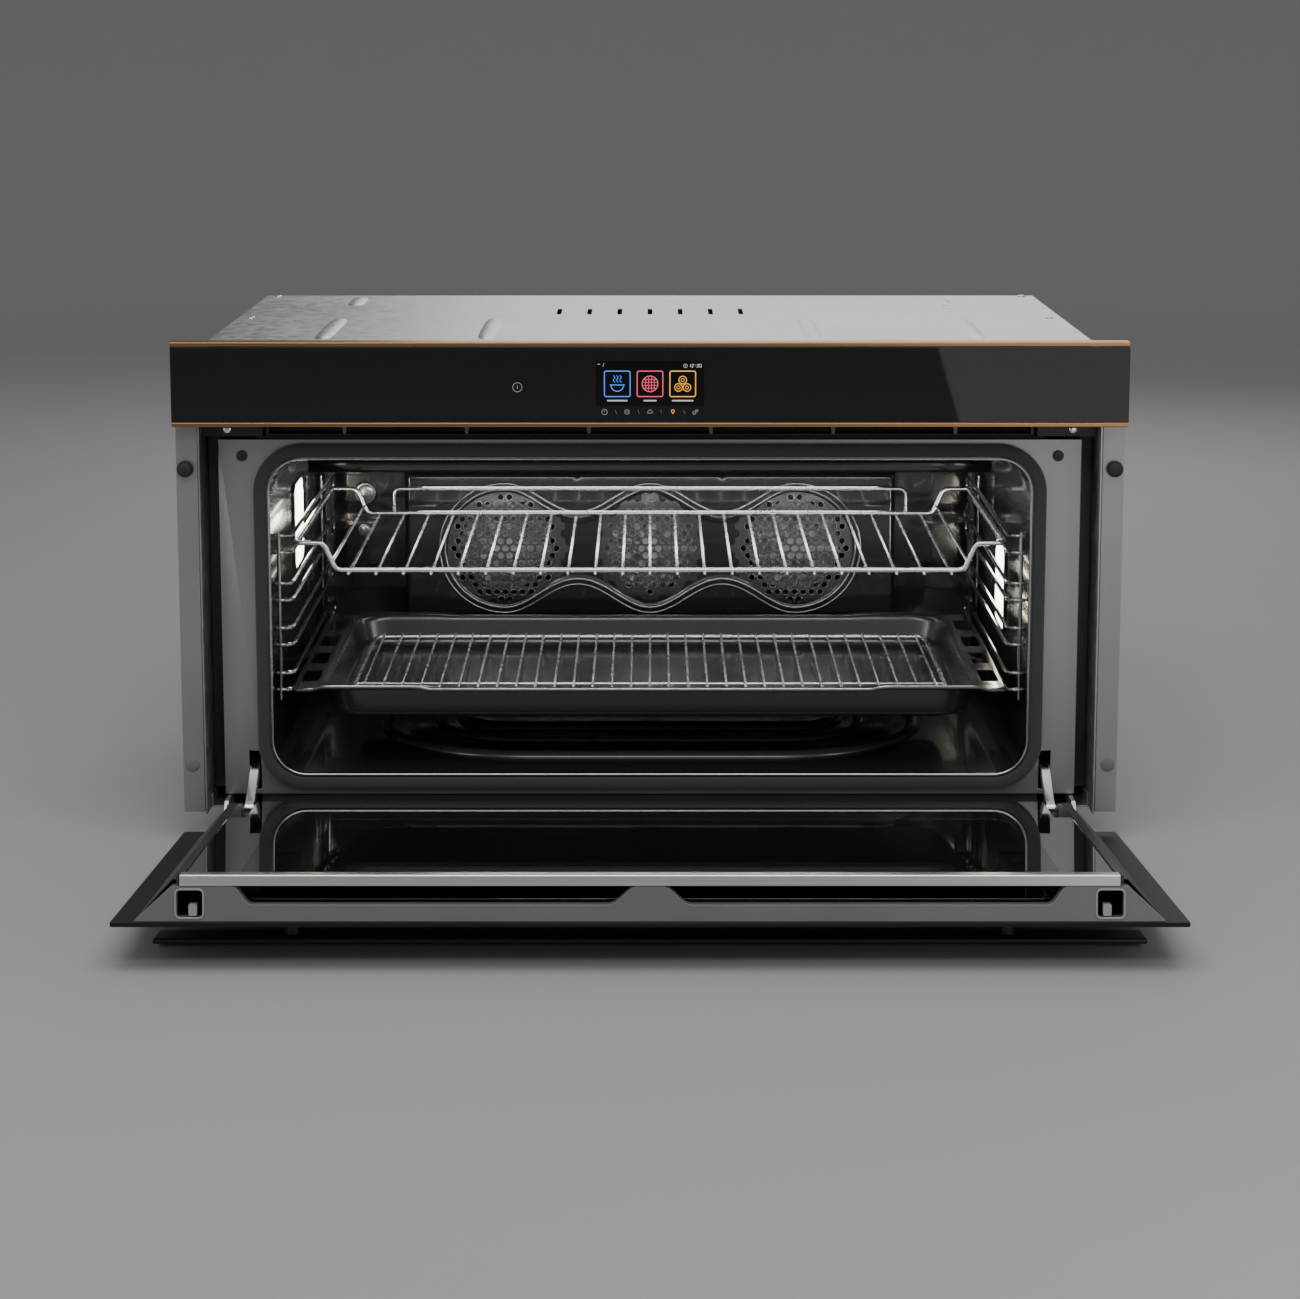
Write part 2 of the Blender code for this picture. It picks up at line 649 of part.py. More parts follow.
def make_shelf():
    near, far = SHELF_DEPTHS
    side, deck = SHELF_SIDE_X, SHELF_DECK_X
    up, down = SHELF_SIDE_HEIGHT, SHELF_DECK_HEIGHT
    loop = []
    for depth, turn in ((near, 1), (far, -1)):
        spots = [(-side, up), (-deck - 10, up), (-deck, down), (deck, down), (deck + 10, up), (side, up)]
        loop += [(a, depth, b) for a, b in spots[::turn]]
    bm = bmesh.new()
    wire(bm, soften(loop, 4, 2, True), SHELF_BAR, closed=True)
    shelf = make_part("wire_shelf", bm, BRIGHT_WIRE)

    bm = bmesh.new()
    height = down - SHELF_BAR - SHELF_WIRE + 0.8
    for i in range(SHELF_WIRES):
        x = (i - (SHELF_WIRES - 1) / 2) * SHELF_PITCH
        wire(bm, [(x, near - 4, height), (x, far + 4, height)], SHELF_WIRE, 5)
    join(shelf, bm)

    bm = bmesh.new()
    fence = [(-FENCE_X, far, down - 1), (-FENCE_X, far, up), (FENCE_X, far, up), (FENCE_X, far, down - 1)]
    wire(bm, soften(fence, 6, 3), 2.0)
    join(shelf, bm)


def make_tray():
    near, far = TRAY_DEPTHS
    pan = TRAY_PAN_HALF_WIDTH
    lip = TRAY_RIM
    top = TRAY_RIM_HEIGHT + TRAY_SHEET

    def ring(half, inset, radius, height):
        return rounded(-half, half, near + inset, far - inset, radius, 4), height

    floor = TRAY_FLOOR_HEIGHT
    sheet = TRAY_SHEET
    bm = bmesh.new()
    rings = [
        ring(pan - 12, lip + 12, TRAY_CORNER, floor + sheet),
        ring(pan - 6, lip + 6, TRAY_CORNER, floor + sheet + 5),
        ring(pan, lip, TRAY_CORNER, top),
        ring(TRAY_HALF_WIDTH, 0, 8, top),
        ring(TRAY_HALF_WIDTH, 0, 8, TRAY_RIM_HEIGHT),
        ring(pan + sheet, lip - sheet, TRAY_CORNER, TRAY_RIM_HEIGHT),
        ring(pan - 6 + sheet, lip + 6 - sheet, TRAY_CORNER, floor + 5),
        ring(pan - 12, lip + 12, TRAY_CORNER, floor),
    ]
    stack(bm, rings, "height")
    tray = make_part("baking_tray", bm, DARK_ENAMEL)
    bm = bmesh.new()
    across, along = (size / 2 for size in TRAY_WINDOW)
    middle = (TRAY_HALF_WIDTH + pan) / 2
    for _, side in SIDES:
        for depth in TRAY_WINDOW_DEPTHS:
            xs = sided(side, (middle - across + 1, middle + across - 2))
            prism(bm, [rounded(*xs, depth - along, depth + along, 5, 2)], "height", 128, 140)
    cut(tray, bm)

    front, back = GRID_DEPTHS
    half, height = GRID_HALF_WIDTH, GRID_HEIGHT
    bm = bmesh.new()
    frame = [(-half, front, height), (half, front, height), (half, back, height), (-half, back, height)]
    wire(bm, soften(frame, 16, 3, True), 2.0, closed=True)
    grid = make_part("tray_grid", bm, BRIGHT_WIRE)
    bm = bmesh.new()
    for i in range(GRID_WIRES):
        x = (i - (GRID_WIRES - 1) / 2) * GRID_PITCH
        wire(bm, [(x, front - 1, height + 2.2), (x, back + 1, height + 2.2)], 1.25, 5)
    join(grid, bm)


# ---- Control panel ----


def make_panel():
    half = PANEL_HALF_WIDTH
    bm = bmesh.new()
    block(bm, (-half, half), (0, GLASS_THICKNESS), PANEL_GLASS_HEIGHTS)
    make_part("touch_glass", bm, BLACK_GLASS)
    for name, (bottom, top) in (("top", TRIM_TOP_HEIGHTS), ("bottom", TRIM_BOTTOM_HEIGHTS)):
        front, back = TRIM_DEPTHS
        outline = [(front + 0.6, bottom), (back, bottom), (back, top), (front + 0.6, top)]
        outline += [(front, top - 0.6), (front, bottom + 0.6)]
        bm = bmesh.new()
        prism(bm, [outline], "x", -half, half)
        make_part(f"panel_trim_{name}", bm, COPPER_TRIM)

    wide, wall = CARRIER_HALF_WIDTH, CARRIER_WALL
    outer = rectangle(-wide, wide, *CARRIER_HEIGHTS)
    inner = rectangle(wall - wide, wide - wall, CARRIER_HEIGHTS[0] + wall, CARRIER_HEIGHTS[1] - wall)
    bm = bmesh.new()
    tray_box(bm, outer, inner, "depth", *CARRIER_DEPTHS, wall)
    carrier = make_part("panel_carrier", bm, BLACK_PLASTIC)
    bm = bmesh.new()
    window = DISPLAY_HALF_WIDTH + 2
    heights = (DISPLAY_HEIGHTS[0] - 2, DISPLAY_HEIGHTS[1] + 2)
    block(bm, (-window, window), (CARRIER_DEPTHS[0] - 5, CARRIER_DEPTHS[0] + 5), heights)
    cut(carrier, bm)

    bm = bmesh.new()
    screen = rounded(-DISPLAY_HALF_WIDTH, DISPLAY_HALF_WIDTH, *DISPLAY_HEIGHTS, 3, 2)
    prism(bm, [screen], "depth", *DISPLAY_DEPTHS)
    make_part("display_module", bm, BLACK_PLASTIC)
    bm = bmesh.new()
    across, middle = BOARD_HALF_WIDTH - 8, sum(BOARD_HEIGHTS) / 2
    holes = [circle(a * across, middle + b, 2, 8) for a in (-1, 1) for b in (-23, 23)]
    board = rectangle(-BOARD_HALF_WIDTH, BOARD_HALF_WIDTH, *BOARD_HEIGHTS)
    prism(bm, [board, *holes], "depth", *BOARD_DEPTHS)
    make_part("control_board", bm, CIRCUIT_BOARD)

    bm = bmesh.new()
    windows = []
    for i in range(OUTLET_WINDOWS):
        middle = (i - (OUTLET_WINDOWS - 1) / 2) * OUTLET_PITCH
        span = OUTLET_PITCH / 2 - 1.5
        left = max(middle - span, -OUTLET_HALF_WIDTH + OUTLET_END)
        right = min(middle + span, OUTLET_HALF_WIDTH - OUTLET_END)
        windows.append(rectangle(left, right, OUTLET_HEIGHTS[0] + 1.2, OUTLET_HEIGHTS[1] - 1.2))
    strip = rectangle(-OUTLET_HALF_WIDTH, OUTLET_HALF_WIDTH, *OUTLET_HEIGHTS)
    prism(bm, [strip, *windows], "depth", *OUTLET_DEPTHS)
    make_part("air_outlet_strip", bm, BLACK_PLASTIC)


def make_blower():
    half = BLOWER_HALF_WIDTH
    near, far = BLOWER_DEPTHS
    bottom, top = BLOWER_HEIGHTS
    axis = ((near + far) / 2, (bottom + top) / 2)
    bm = bmesh.new()
    inner = rectangle(WALL - half, half - WALL, bottom + WALL, top - WALL)
    tray_box(bm, rectangle(-half, half, bottom, top), inner, "depth", far, near, WALL)
    housing = make_part("blower_housing", bm, ZINC)
    bm = bmesh.new()
    prism(bm, [circle(*axis, SHAFT_RADIUS + 1, 12)], "x", -half - 5, half + 5)
    block(bm, (30 - half, half - 30), (far - 80, far - 25), (top - 5, top + 5))
    cut(housing, bm)

    bm = bmesh.new()
    drum = half - 10
    prism(bm, [bladed(*axis, ROTOR_HUB, ROTOR_RADIUS, ROTOR_BLADES, 2)], "x", -drum, drum)
    rotor = make_part("blower_rotor", bm, ZINC, point(0, *axis))
    bm = bmesh.new()
    prism(bm, [circle(*axis, SHAFT_RADIUS, 12)], "x", -half - 4, half + 4)
    join(rotor, bm)


def make_lock():
    for name, side in (("lock_case", -1), ("door_switch_case", 1)):
        xs = sided(side, LOCK_X)
        bottom, top = LOCK_HEIGHTS
        inner = rectangle(xs[0] + WALL, xs[1] - WALL, bottom + WALL, top - WALL)
        bm = bmesh.new()
        tray_box(bm, rectangle(*xs, bottom, top), inner, "depth", LOCK_DEPTHS[1], LOCK_DEPTHS[0], WALL)
        case = make_part(name, bm, ZINC)
        if side == -1:
            bm = bmesh.new()
            prism(bm, [circle(*HOOK_PIVOT, HOOK_PIN_RADIUS, 12)], "x", xs[0] + 0.7, xs[1] - 0.7)
            join(case, bm)

    depth, height = HOOK_PIVOT
    tip = depth - HOOK_REACH
    top, under, foot = height + 5.9, height + 3.1, height - 3.5
    outline = [(depth, top), (tip, top), (tip, foot), (tip + 5.5, foot), (tip + 5.5, under)]
    outline += [(depth - 10, under), (depth - 4, height - 4)]
    bm = bmesh.new()
    prism(bm, [outline], "x", *HOOK_X)
    hook = make_part("lock_hook", bm, BRIGHT_WIRE, point(sum(HOOK_X) / 2, depth, height))
    bm = bmesh.new()
    prism(bm, [circle(depth, height, 6, 16)], "x", *HOOK_X)
    join(hook, bm)
    bm = bmesh.new()
    prism(bm, [circle(depth, height, HOOK_PIN_RADIUS + 0.4, 12)], "x", HOOK_X[0] - 2, HOOK_X[1] + 2)
    cut(hook, bm)


# ---- Door ----


def make_door_glass(pivot):
    half = PANEL_HALF_WIDTH
    bm = bmesh.new()
    prism(bm, [rounded(-half, half, 0, DOOR_GLASS_TOP, 2, 2)], "depth", 0, GLASS_THICKNESS)
    make_part("door_outer_glass", bm, BLACK_GLASS, parent=pivot)
    half = MIDDLE_GLASS_HALF_WIDTH
    bm = bmesh.new()
    prism(bm, [rounded(-half, half, *MIDDLE_GLASS_HEIGHTS, 2, 2)], "depth", *MIDDLE_GLASS_DEPTHS)
    make_part("door_middle_glass", bm, CLEAR_GLASS, parent=pivot)
    half, narrow = INNER_GLASS_HALF_WIDTH, GLASS_NOTCH_X
    low, high = INNER_GLASS_HEIGHTS
    outline = [(narrow, low), (narrow, GLASS_NOTCH_TOP), (half, GLASS_NOTCH_TOP), (half, high)]
    outline += [(-a, b) for a, b in outline[::-1]]
    bm = bmesh.new()
    prism(bm, [outline], "depth", *INNER_GLASS_DEPTHS)
    make_part("door_inner_glass", bm, CLEAR_GLASS, parent=pivot)


def make_door_frame(pivot):
    for name, side in SIDES:
        inner, outer = COLUMN_X
        front, back = COLUMN_DEPTHS
        line = [(inner, back), (COLUMN_BACK_X, back), (outer, front), (inner, front)]
        bm = bmesh.new()
        prism(bm, [mirrored(bent_sheet(line, -WALL), side)], "height", *COLUMN_HEIGHTS)
        make_part(f"door_column_{name}", bm, GREY_PLASTIC, parent=pivot)

    front, back = COVER_DEPTHS
    wide, narrow = COVER_HALF_WIDTHS
    (near, far), (near_mouth, far_mouth) = COVER_NOTCH_FLOOR_X, COVER_NOTCH_MOUTH_X
    near_slope, far_slope = [], []
    for i in range(COVER_NOTCH_STEPS + 1):
        part = i / COVER_NOTCH_STEPS
        depth = back + (COVER_NOTCH_DEPTH - back) * (1 - math.cos(math.pi * part)) / 2
        near_slope.append((near_mouth + (near - near_mouth) * part, depth))
        far_slope.append((far_mouth + (far - far_mouth) * part, depth))
    right = [*near_slope, *far_slope[::-1], (narrow, back), (wide, front)]
    outline = right + [(-a, b) for a, b in right[::-1]]
    windows = [rectangle(*sided(side, LOCK_WINDOW_X), *LOCK_WINDOW_DEPTHS) for _, side in SIDES]
    bm = bmesh.new()
    prism(bm, [outline, *windows], "height", *COVER_HEIGHTS)
    make_part("door_top_cover", bm, GREY_PLASTIC, parent=pivot)

    half = INNER_TRIM_HALF_WIDTH
    bm = bmesh.new()
    front, back = INNER_TRIM_DEPTHS
    bottom, top = INNER_TRIM_HEIGHTS
    outline = [(front, bottom), (back - 1, bottom), (back, bottom + 1)]
    outline += [(back, top - 1), (back - 1, top), (front, top)]
    prism(bm, [outline], "x", -half, half)
    make_part("inner_glass_trim", bm, BRIGHT_WIRE, parent=pivot)

    bm = bmesh.new()
    block(bm, (-RAIL_HALF_WIDTH, RAIL_HALF_WIDTH), RAIL_DEPTHS, RAIL_RISE)
    rail = make_part("door_bottom_rail", bm, GREY_PLASTIC, parent=pivot)
    bm = bmesh.new()
    channel = RAIL_CHANNEL_HALF_WIDTH
    depths = (RAIL_DEPTHS[0] + 2, RAIL_DEPTHS[1] - 2)
    block(bm, (-channel, channel), depths, (RAIL_RISE[0] - 5, RAIL_RISE[1] - 2))
    for _, side in SIDES:
        arm = sided(side, (ARM_X[0] - 2, ARM_X[1] + 2.5))
        block(bm, arm, (ARM_PIN[0] - 9, RAIL_DEPTHS[1] + 5), (RAIL_RISE[0] - 5, RAIL_RISE[1] + 5))
    cut(rail, bm)
    bm = bmesh.new()
    for _, side in SIDES:
        prism(bm, [circle(*ARM_PIN, ARM_PIN_RADIUS, 12)], "x", *sided(side, (ARM_X[0] - 5, ARM_X[1] + 5)))
    join(rail, bm)
    bm = bmesh.new()
    depth, height = DOOR_PIVOT
    radius = LUG_RADIUS
    for _, side in SIDES:
        arc = [math.pi + math.pi * step / 10 for step in range(11)]
        lug = [(depth + radius * math.cos(turn), height + radius * math.sin(turn)) for turn in arc]
        lug += [(depth + radius, RAIL_RISE[0] + 1), (depth - radius, RAIL_RISE[0] + 1)]
        prism(bm, [lug, circle(depth, height, HINGE_PIN_RADIUS + 0.4, 16)], "x", *sided(side, LUG_X))
    join(rail, bm)


def make_handle(pivot):
    half = HANDLE_HALF_WIDTH
    front, back = HANDLE_DEPTHS
    bottom, top = HANDLE_HEIGHTS
    rims = [(half - 1, 1, front), (half, 0, front + 1), (half, 0, back - 1), (half - 1, 1, back)]
    rings = [(rectangle(-wide, wide, bottom + inset, top - inset), depth) for wide, inset, depth in rims]
    bm = bmesh.new()
    stack(bm, rings, "depth")
    make_part("handle_bar", bm, BLACK_PLASTIC, parent=pivot)
    for name, side in SIDES:
        bm = bmesh.new()
        disc = circle(side * HANDLE_POST_X, (bottom + top) / 2, HANDLE_POST_RADIUS)
        prism(bm, [disc], "depth", back + GAP, -GAP)
        make_part(f"handle_post_{name}", bm, BLACK_PLASTIC, parent=pivot)


# ---- Hinges ----


def turned(spot, about, angle):
    """A depth and height turned about another, in the direction that opens the door."""
    a, b = spot[0] - about[0], spot[1] - about[1]
    cos, sin = math.cos(angle), math.sin(angle)
    return about[0] + a * cos - b * sin, about[1] + a * sin + b * cos


def make_hinges():
    depth, height = DOOR_PIVOT
    radius = BRACKET_RADIUS
    arc = [math.radians(130 + 190 * step / 12) for step in range(13)]
    nose = [(depth + radius * math.cos(turn), height + radius * math.sin(turn)) for turn in arc]
    bottom, top = BRACKET_HEIGHTS
    near, far = BRACKET_DEPTHS
    outline = nose + [(near, bottom), (far, bottom), (far, top), (near, top)]

    pin = turned(ARM_PIN, DOOR_PIVOT, DOOR_OPEN_ANGLE)
    spots = [(0, *pin)] + [(0, *spot) for spot in ARM_ROUTE]
    line = [(spot.y, spot.z) for spot in soften(spots, 8, 3)]
    upper = bent_sheet(line, ARM_HALF_HEIGHT)
    strip = upper[len(line):][::-1] + bent_sheet(line, -ARM_HALF_HEIGHT)[len(line):]

    for name, side in SIDES:
        bm = bmesh.new()
        prism(bm, [outline], "x", *sided(side, BRACKET_X))
        bracket = make_part(f"hinge_bracket_{name}", bm, ZINC)
        bm = bmesh.new()
        pin_x = sided(side, (BRACKET_PIN_X, BRACKET_X[0] + 1))
        prism(bm, [circle(depth, height, HINGE_PIN_RADIUS, 16)], "x", *pin_x)
        join(bracket, bm)

        bm = bmesh.new()
        prism(bm, [strip], "x", *sided(side, ARM_X))
        arm = make_part(f"hinge_arm_{name}", bm, BRIGHT_WIRE, point(side * sum(ARM_X) / 2, *pin))
        bm = bmesh.new()
        prism(bm, [circle(*pin, ARM_EYE_RADIUS, 20)], "x", *sided(side, ARM_X))
        join(arm, bm)
        bm = bmesh.new()
        bore = circle(*pin, ARM_PIN_RADIUS + 0.4, 12)
        prism(bm, [bore], "x", *sided(side, (ARM_X[0] - 2, ARM_X[1] + 2)))
        cut(arm, bm)


def main():
    for item in list(bpy.data.objects):
        bpy.data.objects.remove(item, do_unlink=True)
    pivot = bpy.data.objects.new("door_pivot", None)
    bpy.context.scene.collection.objects.link(pivot)
    pivot.location = point(0, *DOOR_PIVOT)
    pivot.rotation_euler.x = DOOR_OPEN_ANGLE
    make_casing()
    make_cavity()
    make_fans()
    make_heaters()
    make_side_fittings()
    make_shelf()
    make_tray()
    make_panel()
    make_blower()
    make_lock()
    make_door_glass(pivot)
    make_door_frame(pivot)
    make_handle(pivot)
    make_hinges()


main()
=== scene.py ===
# %% [markdown]
# # A wide built-in oven with its door open
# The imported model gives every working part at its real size. This script gives the parts their looks: it
# rebuilds the surfaces that show, such as enamel pressings, bent wire and bevelled glass, around the same
# boxes.

# %% Load the working model
import math

import bmesh
import bpy
import numpy as np
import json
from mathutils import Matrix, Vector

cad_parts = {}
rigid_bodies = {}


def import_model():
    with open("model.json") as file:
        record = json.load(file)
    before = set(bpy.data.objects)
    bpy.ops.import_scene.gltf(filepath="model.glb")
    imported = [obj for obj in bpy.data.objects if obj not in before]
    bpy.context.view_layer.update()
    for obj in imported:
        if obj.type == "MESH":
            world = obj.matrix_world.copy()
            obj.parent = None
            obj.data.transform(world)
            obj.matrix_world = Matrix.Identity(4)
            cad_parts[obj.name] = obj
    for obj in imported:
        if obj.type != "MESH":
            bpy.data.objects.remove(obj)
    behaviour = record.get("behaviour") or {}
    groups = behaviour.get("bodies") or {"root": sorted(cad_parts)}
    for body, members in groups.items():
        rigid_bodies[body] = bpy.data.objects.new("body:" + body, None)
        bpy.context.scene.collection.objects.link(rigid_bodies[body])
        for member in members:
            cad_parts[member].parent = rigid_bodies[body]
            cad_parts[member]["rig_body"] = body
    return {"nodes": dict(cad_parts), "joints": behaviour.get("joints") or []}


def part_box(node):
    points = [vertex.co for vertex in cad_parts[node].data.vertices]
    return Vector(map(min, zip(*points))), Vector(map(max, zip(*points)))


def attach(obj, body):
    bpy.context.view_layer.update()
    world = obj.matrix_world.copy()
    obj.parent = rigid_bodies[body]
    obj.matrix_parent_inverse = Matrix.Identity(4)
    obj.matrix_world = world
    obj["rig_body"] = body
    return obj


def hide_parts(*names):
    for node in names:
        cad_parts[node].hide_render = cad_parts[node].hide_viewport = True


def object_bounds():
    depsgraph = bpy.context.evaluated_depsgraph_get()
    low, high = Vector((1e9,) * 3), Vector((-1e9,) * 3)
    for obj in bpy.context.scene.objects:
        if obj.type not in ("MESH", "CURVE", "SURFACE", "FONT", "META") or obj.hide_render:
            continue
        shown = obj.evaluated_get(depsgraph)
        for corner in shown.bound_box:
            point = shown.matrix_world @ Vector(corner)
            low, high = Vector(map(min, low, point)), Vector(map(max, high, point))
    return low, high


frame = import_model()
cad_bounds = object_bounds()
print("the working model holds", len(frame["nodes"]), "parts")

# %% [markdown]
# The oven is measured as its fitter would: across from the middle, back from the face of the closed door,
# and up from that door's lower edge, all in millimetres. One function turns those three numbers into
# metres in the frame. Door parts are drawn closed, and a second function swings them open about the
# hinge.

# %% Working axes
MM = 0.001
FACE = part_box("touch_glass")[0].y / MM
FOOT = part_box("base_pan")[0].z / MM - 17
HINGE = next(joint for joint in frame["joints"] if joint["name"] == "door_hinge")
OPEN_ANGLE = -math.radians(HINGE["range_deg"][0])


def at(x, depth, height):
    """Metres in the frame for a place across, back and up; arrays of equal shape give an array of points."""
    x, depth, height = np.broadcast_arrays(x, depth, height)
    return np.stack([x, FACE + depth, FOOT + height], -1) * MM


def swung(points):
    """The door's points turned about the hinge: y' = y cos a - z sin a and z' = y sin a + z cos a."""
    points = np.asarray(points) - HINGE["pos_m"]
    cos, sin = math.cos(OPEN_ANGLE), math.sin(OPEN_ANGLE)
    y, z = points[..., 1].copy(), points[..., 2].copy()
    points[..., 1], points[..., 2] = y * cos - z * sin, y * sin + z * cos
    return points + HINGE["pos_m"]


def placed(name, data):
    """A new object in the scene."""
    made = bpy.data.objects.new(name, data)
    bpy.context.scene.collection.objects.link(made)
    return made


def full_turn(sides):
    return np.linspace(0, 2 * math.pi, sides, endpoint=False)


def spread(count, pitch):
    """Evenly spaced places about zero."""
    return (np.arange(count) - (count - 1) / 2) * pitch


def xyz(*axes):
    """Points from their three coordinates; a single number serves them all."""
    return np.stack(np.broadcast_arrays(*axes), -1)


SIDES = (("left", -1), ("right", 1))
print("closed face at y =", round(FACE), "mm, door opens", round(math.degrees(OPEN_ANGLE)), "degrees")

# %% [markdown]
# The oven is seen square from the front and a little from above. A long lens keeps the front almost flat.
# The camera looks down a little, and a vertical shift does the rest, so that upright edges lean in only
# slightly.

# %% Camera
CAMERA_BACK, CAMERA_UP, CAMERA_TILT = 3.017, 0.7675, 8.64
camera = placed("camera", bpy.data.cameras.new("camera"))
camera.location = (0, -CAMERA_BACK, CAMERA_UP)
camera.rotation_euler = (math.radians(90 - CAMERA_TILT), 0, 0)
camera.data.lens = 81.2
camera.data.shift_y = -0.15
bpy.context.scene.camera = camera

# %% [markdown]
# Studio light. A built-in oven is a dark, glossy thing, so it is drawn by what it reflects: a large soft
# box above, two upright strips at the sides for the sheet metal's edges, and one tilted card that puts a
# slanted gleam on the right of the control glass. The sky is a plain grey.

# %% Floor, sky and lights


def area_light(name, place, target, size, power, colour=(1, 1, 1), roll=0.0):
    """A soft box at `place` that faces `target`; roll turns it about its own axis."""
    light = bpy.data.lights.new(name, "AREA")
    light.shape = "RECTANGLE"
    light.size, light.size_y = size
    light.energy = power
    light.color = colour
    holder = placed(name, light)
    holder.location = place
    way = holder.location - type(holder.location)(target)
    holder.rotation_mode = "QUATERNION"
    turn = way.to_track_quat("Z", "Y")
    holder.rotation_quaternion = turn @ type(turn)((0, 0, 1), roll)
    holder.visible_camera = False


area_light("overhead_box", (0, -1.3, 2.3), (0, -0.2, 0.1), (2.4, 1.2), 24)
for name, side in SIDES:
    area_light(f"{name}_strip", (side * 1.7, -1.5, 0.7), (0, -0.2, 0.2), (0.5, 1.6), 6)
area_light("front_box", (0, -2.7, 2.1), (0, 0, 0.15), (1.6, 0.5), 13)
area_light("rear_box", (0.4, 2.4, 1.6), (0, 0.3, 0.2), (1.8, 1.2), 17)
GLEAM_X, GLEAM_UP = 0.6585, 0.318
area_light("panel_gleam", (GLEAM_X, -1.657, GLEAM_UP), (GLEAM_X, 0, GLEAM_UP), (0.5, 0.6), 0.9, roll=0.291)

# %% [markdown]
# The cavity has light of its own. Two lamps sit behind the moulded glasses in its side walls, one high on
# the left and one lower on the right. Weak strips at the rear, at the front top and before the mouth
# stand for the light that enamel walls throw about. The bright wires need them: a wire that runs from
# front to back mirrors only what lies deeper in the cavity.

# %% Light inside the cavity
LAMP_WARMTH, LAMP_SIZE = (1, 0.93, 0.82), (0.05, 0.06)
for name, side, up in (("left", -1, 262.0), ("right", 1, 198.0)):
    area_light(f"lamp_{name}", at(side * 356.0, 255.0, up), at(0, 235.0, 190.0), LAMP_SIZE, 0.15, LAMP_WARMTH)
area_light("rear_glow", at(0, 438.0, 294.0), at(0, 120.0, 170.0), (0.5, 0.014), 0.3)
area_light("front_glow", at(0, 92.0, 338.0), at(0, 445.0, 190.0), (0.6, 0.03), 0.6)
area_light("mouth_glow", (0, -1.35, 0.66), (0, 0, 0.16), (1.1, 0.2), 0.25)

world = bpy.data.worlds.new("studio")
bpy.context.scene.world = world
world.use_nodes = True
sky = world.node_tree.nodes["Background"].inputs
sky["Color"].default_value = (0.75, 0.75, 0.755, 1)
sky["Strength"].default_value = 0.5

# %% [markdown]
# ## Finishes
# Node graphs are written as sums. A Signal wraps a socket, and adding, multiplying or comparing two of
# them puts a Math node in the tree. A Finish starts from the Principled shader, and its one node method
# makes the rest.

# %% Signals and finishes


def maths(operation):
    """A method that adds a Math node to a signal's tree."""

    def method(signal, other=0):
        return signal.finish.node("ShaderNodeMath", 0, {0: signal, 1: other}, {"operation": operation})

    return method


class Signal:
    """A socket that Python arithmetic works on."""

    __add__, __sub__, __mul__ = maths("ADD"), maths("SUBTRACT"), maths("MULTIPLY")
    __gt__, size = maths("GREATER_THAN"), maths("ABSOLUTE")

    def __init__(self, finish, socket):
        self.finish, self.socket = finish, socket


class Finish:
    """A material built on a Principled shader. Values that are the same all over sit on the shader itself."""

    def __init__(self, name, colour, roughness, metallic=0.0, fixed=()):
        self.material = bpy.data.materials.new(name)
        self.material.use_nodes = True
        self.tree = self.material.node_tree
        self.shader = self.tree.nodes["Principled BSDF"]
        values = {"Base Color": (*colour, 1), "Roughness": roughness, "Metallic": metallic, **dict(fixed)}
        for socket, value in values.items():
            self.shader.inputs[socket].default_value = value

    def node(self, kind, output, inputs=(), settings=()):
        """Adds a node and returns the signal that leaves it."""
        made = self.tree.nodes.new(kind)
        for name, value in dict(settings).items():
            if name == "stops":
                stops = made.color_ramp.elements
                stops.remove(stops[1])
                stops[0].position, stops[0].color = value[0][0], (*value[0][1], 1)
                for position, colour in value[1:]:
                    stops.new(position).color = (*colour, 1)
            else:
                setattr(made, name, value)
        for socket, value in dict(inputs).items():
            if isinstance(value, Signal):
                self.tree.links.new(value.socket, made.inputs[socket])
            else:
                made.inputs[socket].default_value = value
        return Signal(self, made.outputs[output])

    def place(self, stretch=(1, 1, 1)):
        """Where a point is, with each axis stretched."""
        coordinates = self.node("ShaderNodeTexCoord", "Object")
        return self.node("ShaderNodeMapping", 0, {"Vector": coordinates, "Scale": stretch})

    def axis(self, name):
        """One coordinate of the place, in metres."""
        return self.node("ShaderNodeSeparateXYZ", name, {"Vector": self.place()})

    def noise(self, scale, detail=2.0, stretch=(1, 1, 1)):
        inputs = {"Vector": self.place(stretch), "Scale": scale, "Detail": detail}
        return self.node("ShaderNodeTexNoise", "Fac", inputs)

    def cells(self, scale):
        return self.node("ShaderNodeTexVoronoi", "Color", {"Vector": self.place(), "Scale": scale})

    def ramp(self, signal, *stops):
        return self.node("ShaderNodeValToRGB", "Color", {"Fac": signal}, {"stops": stops})

    def feed(self, socket, signal):
        self.tree.links.new(signal.socket, self.shader.inputs[socket])
        return self

    def bumped(self, height, distance):
        inputs = {"Height": height, "Distance": distance}
        return self.feed("Normal", self.node("ShaderNodeBump", "Normal", inputs))


def shades(colour, low, high):
    """Two stops of one colour, darker and lighter."""
    return (0.3, tuple(low * c for c in colour)), (0.7, tuple(high * c for c in colour))
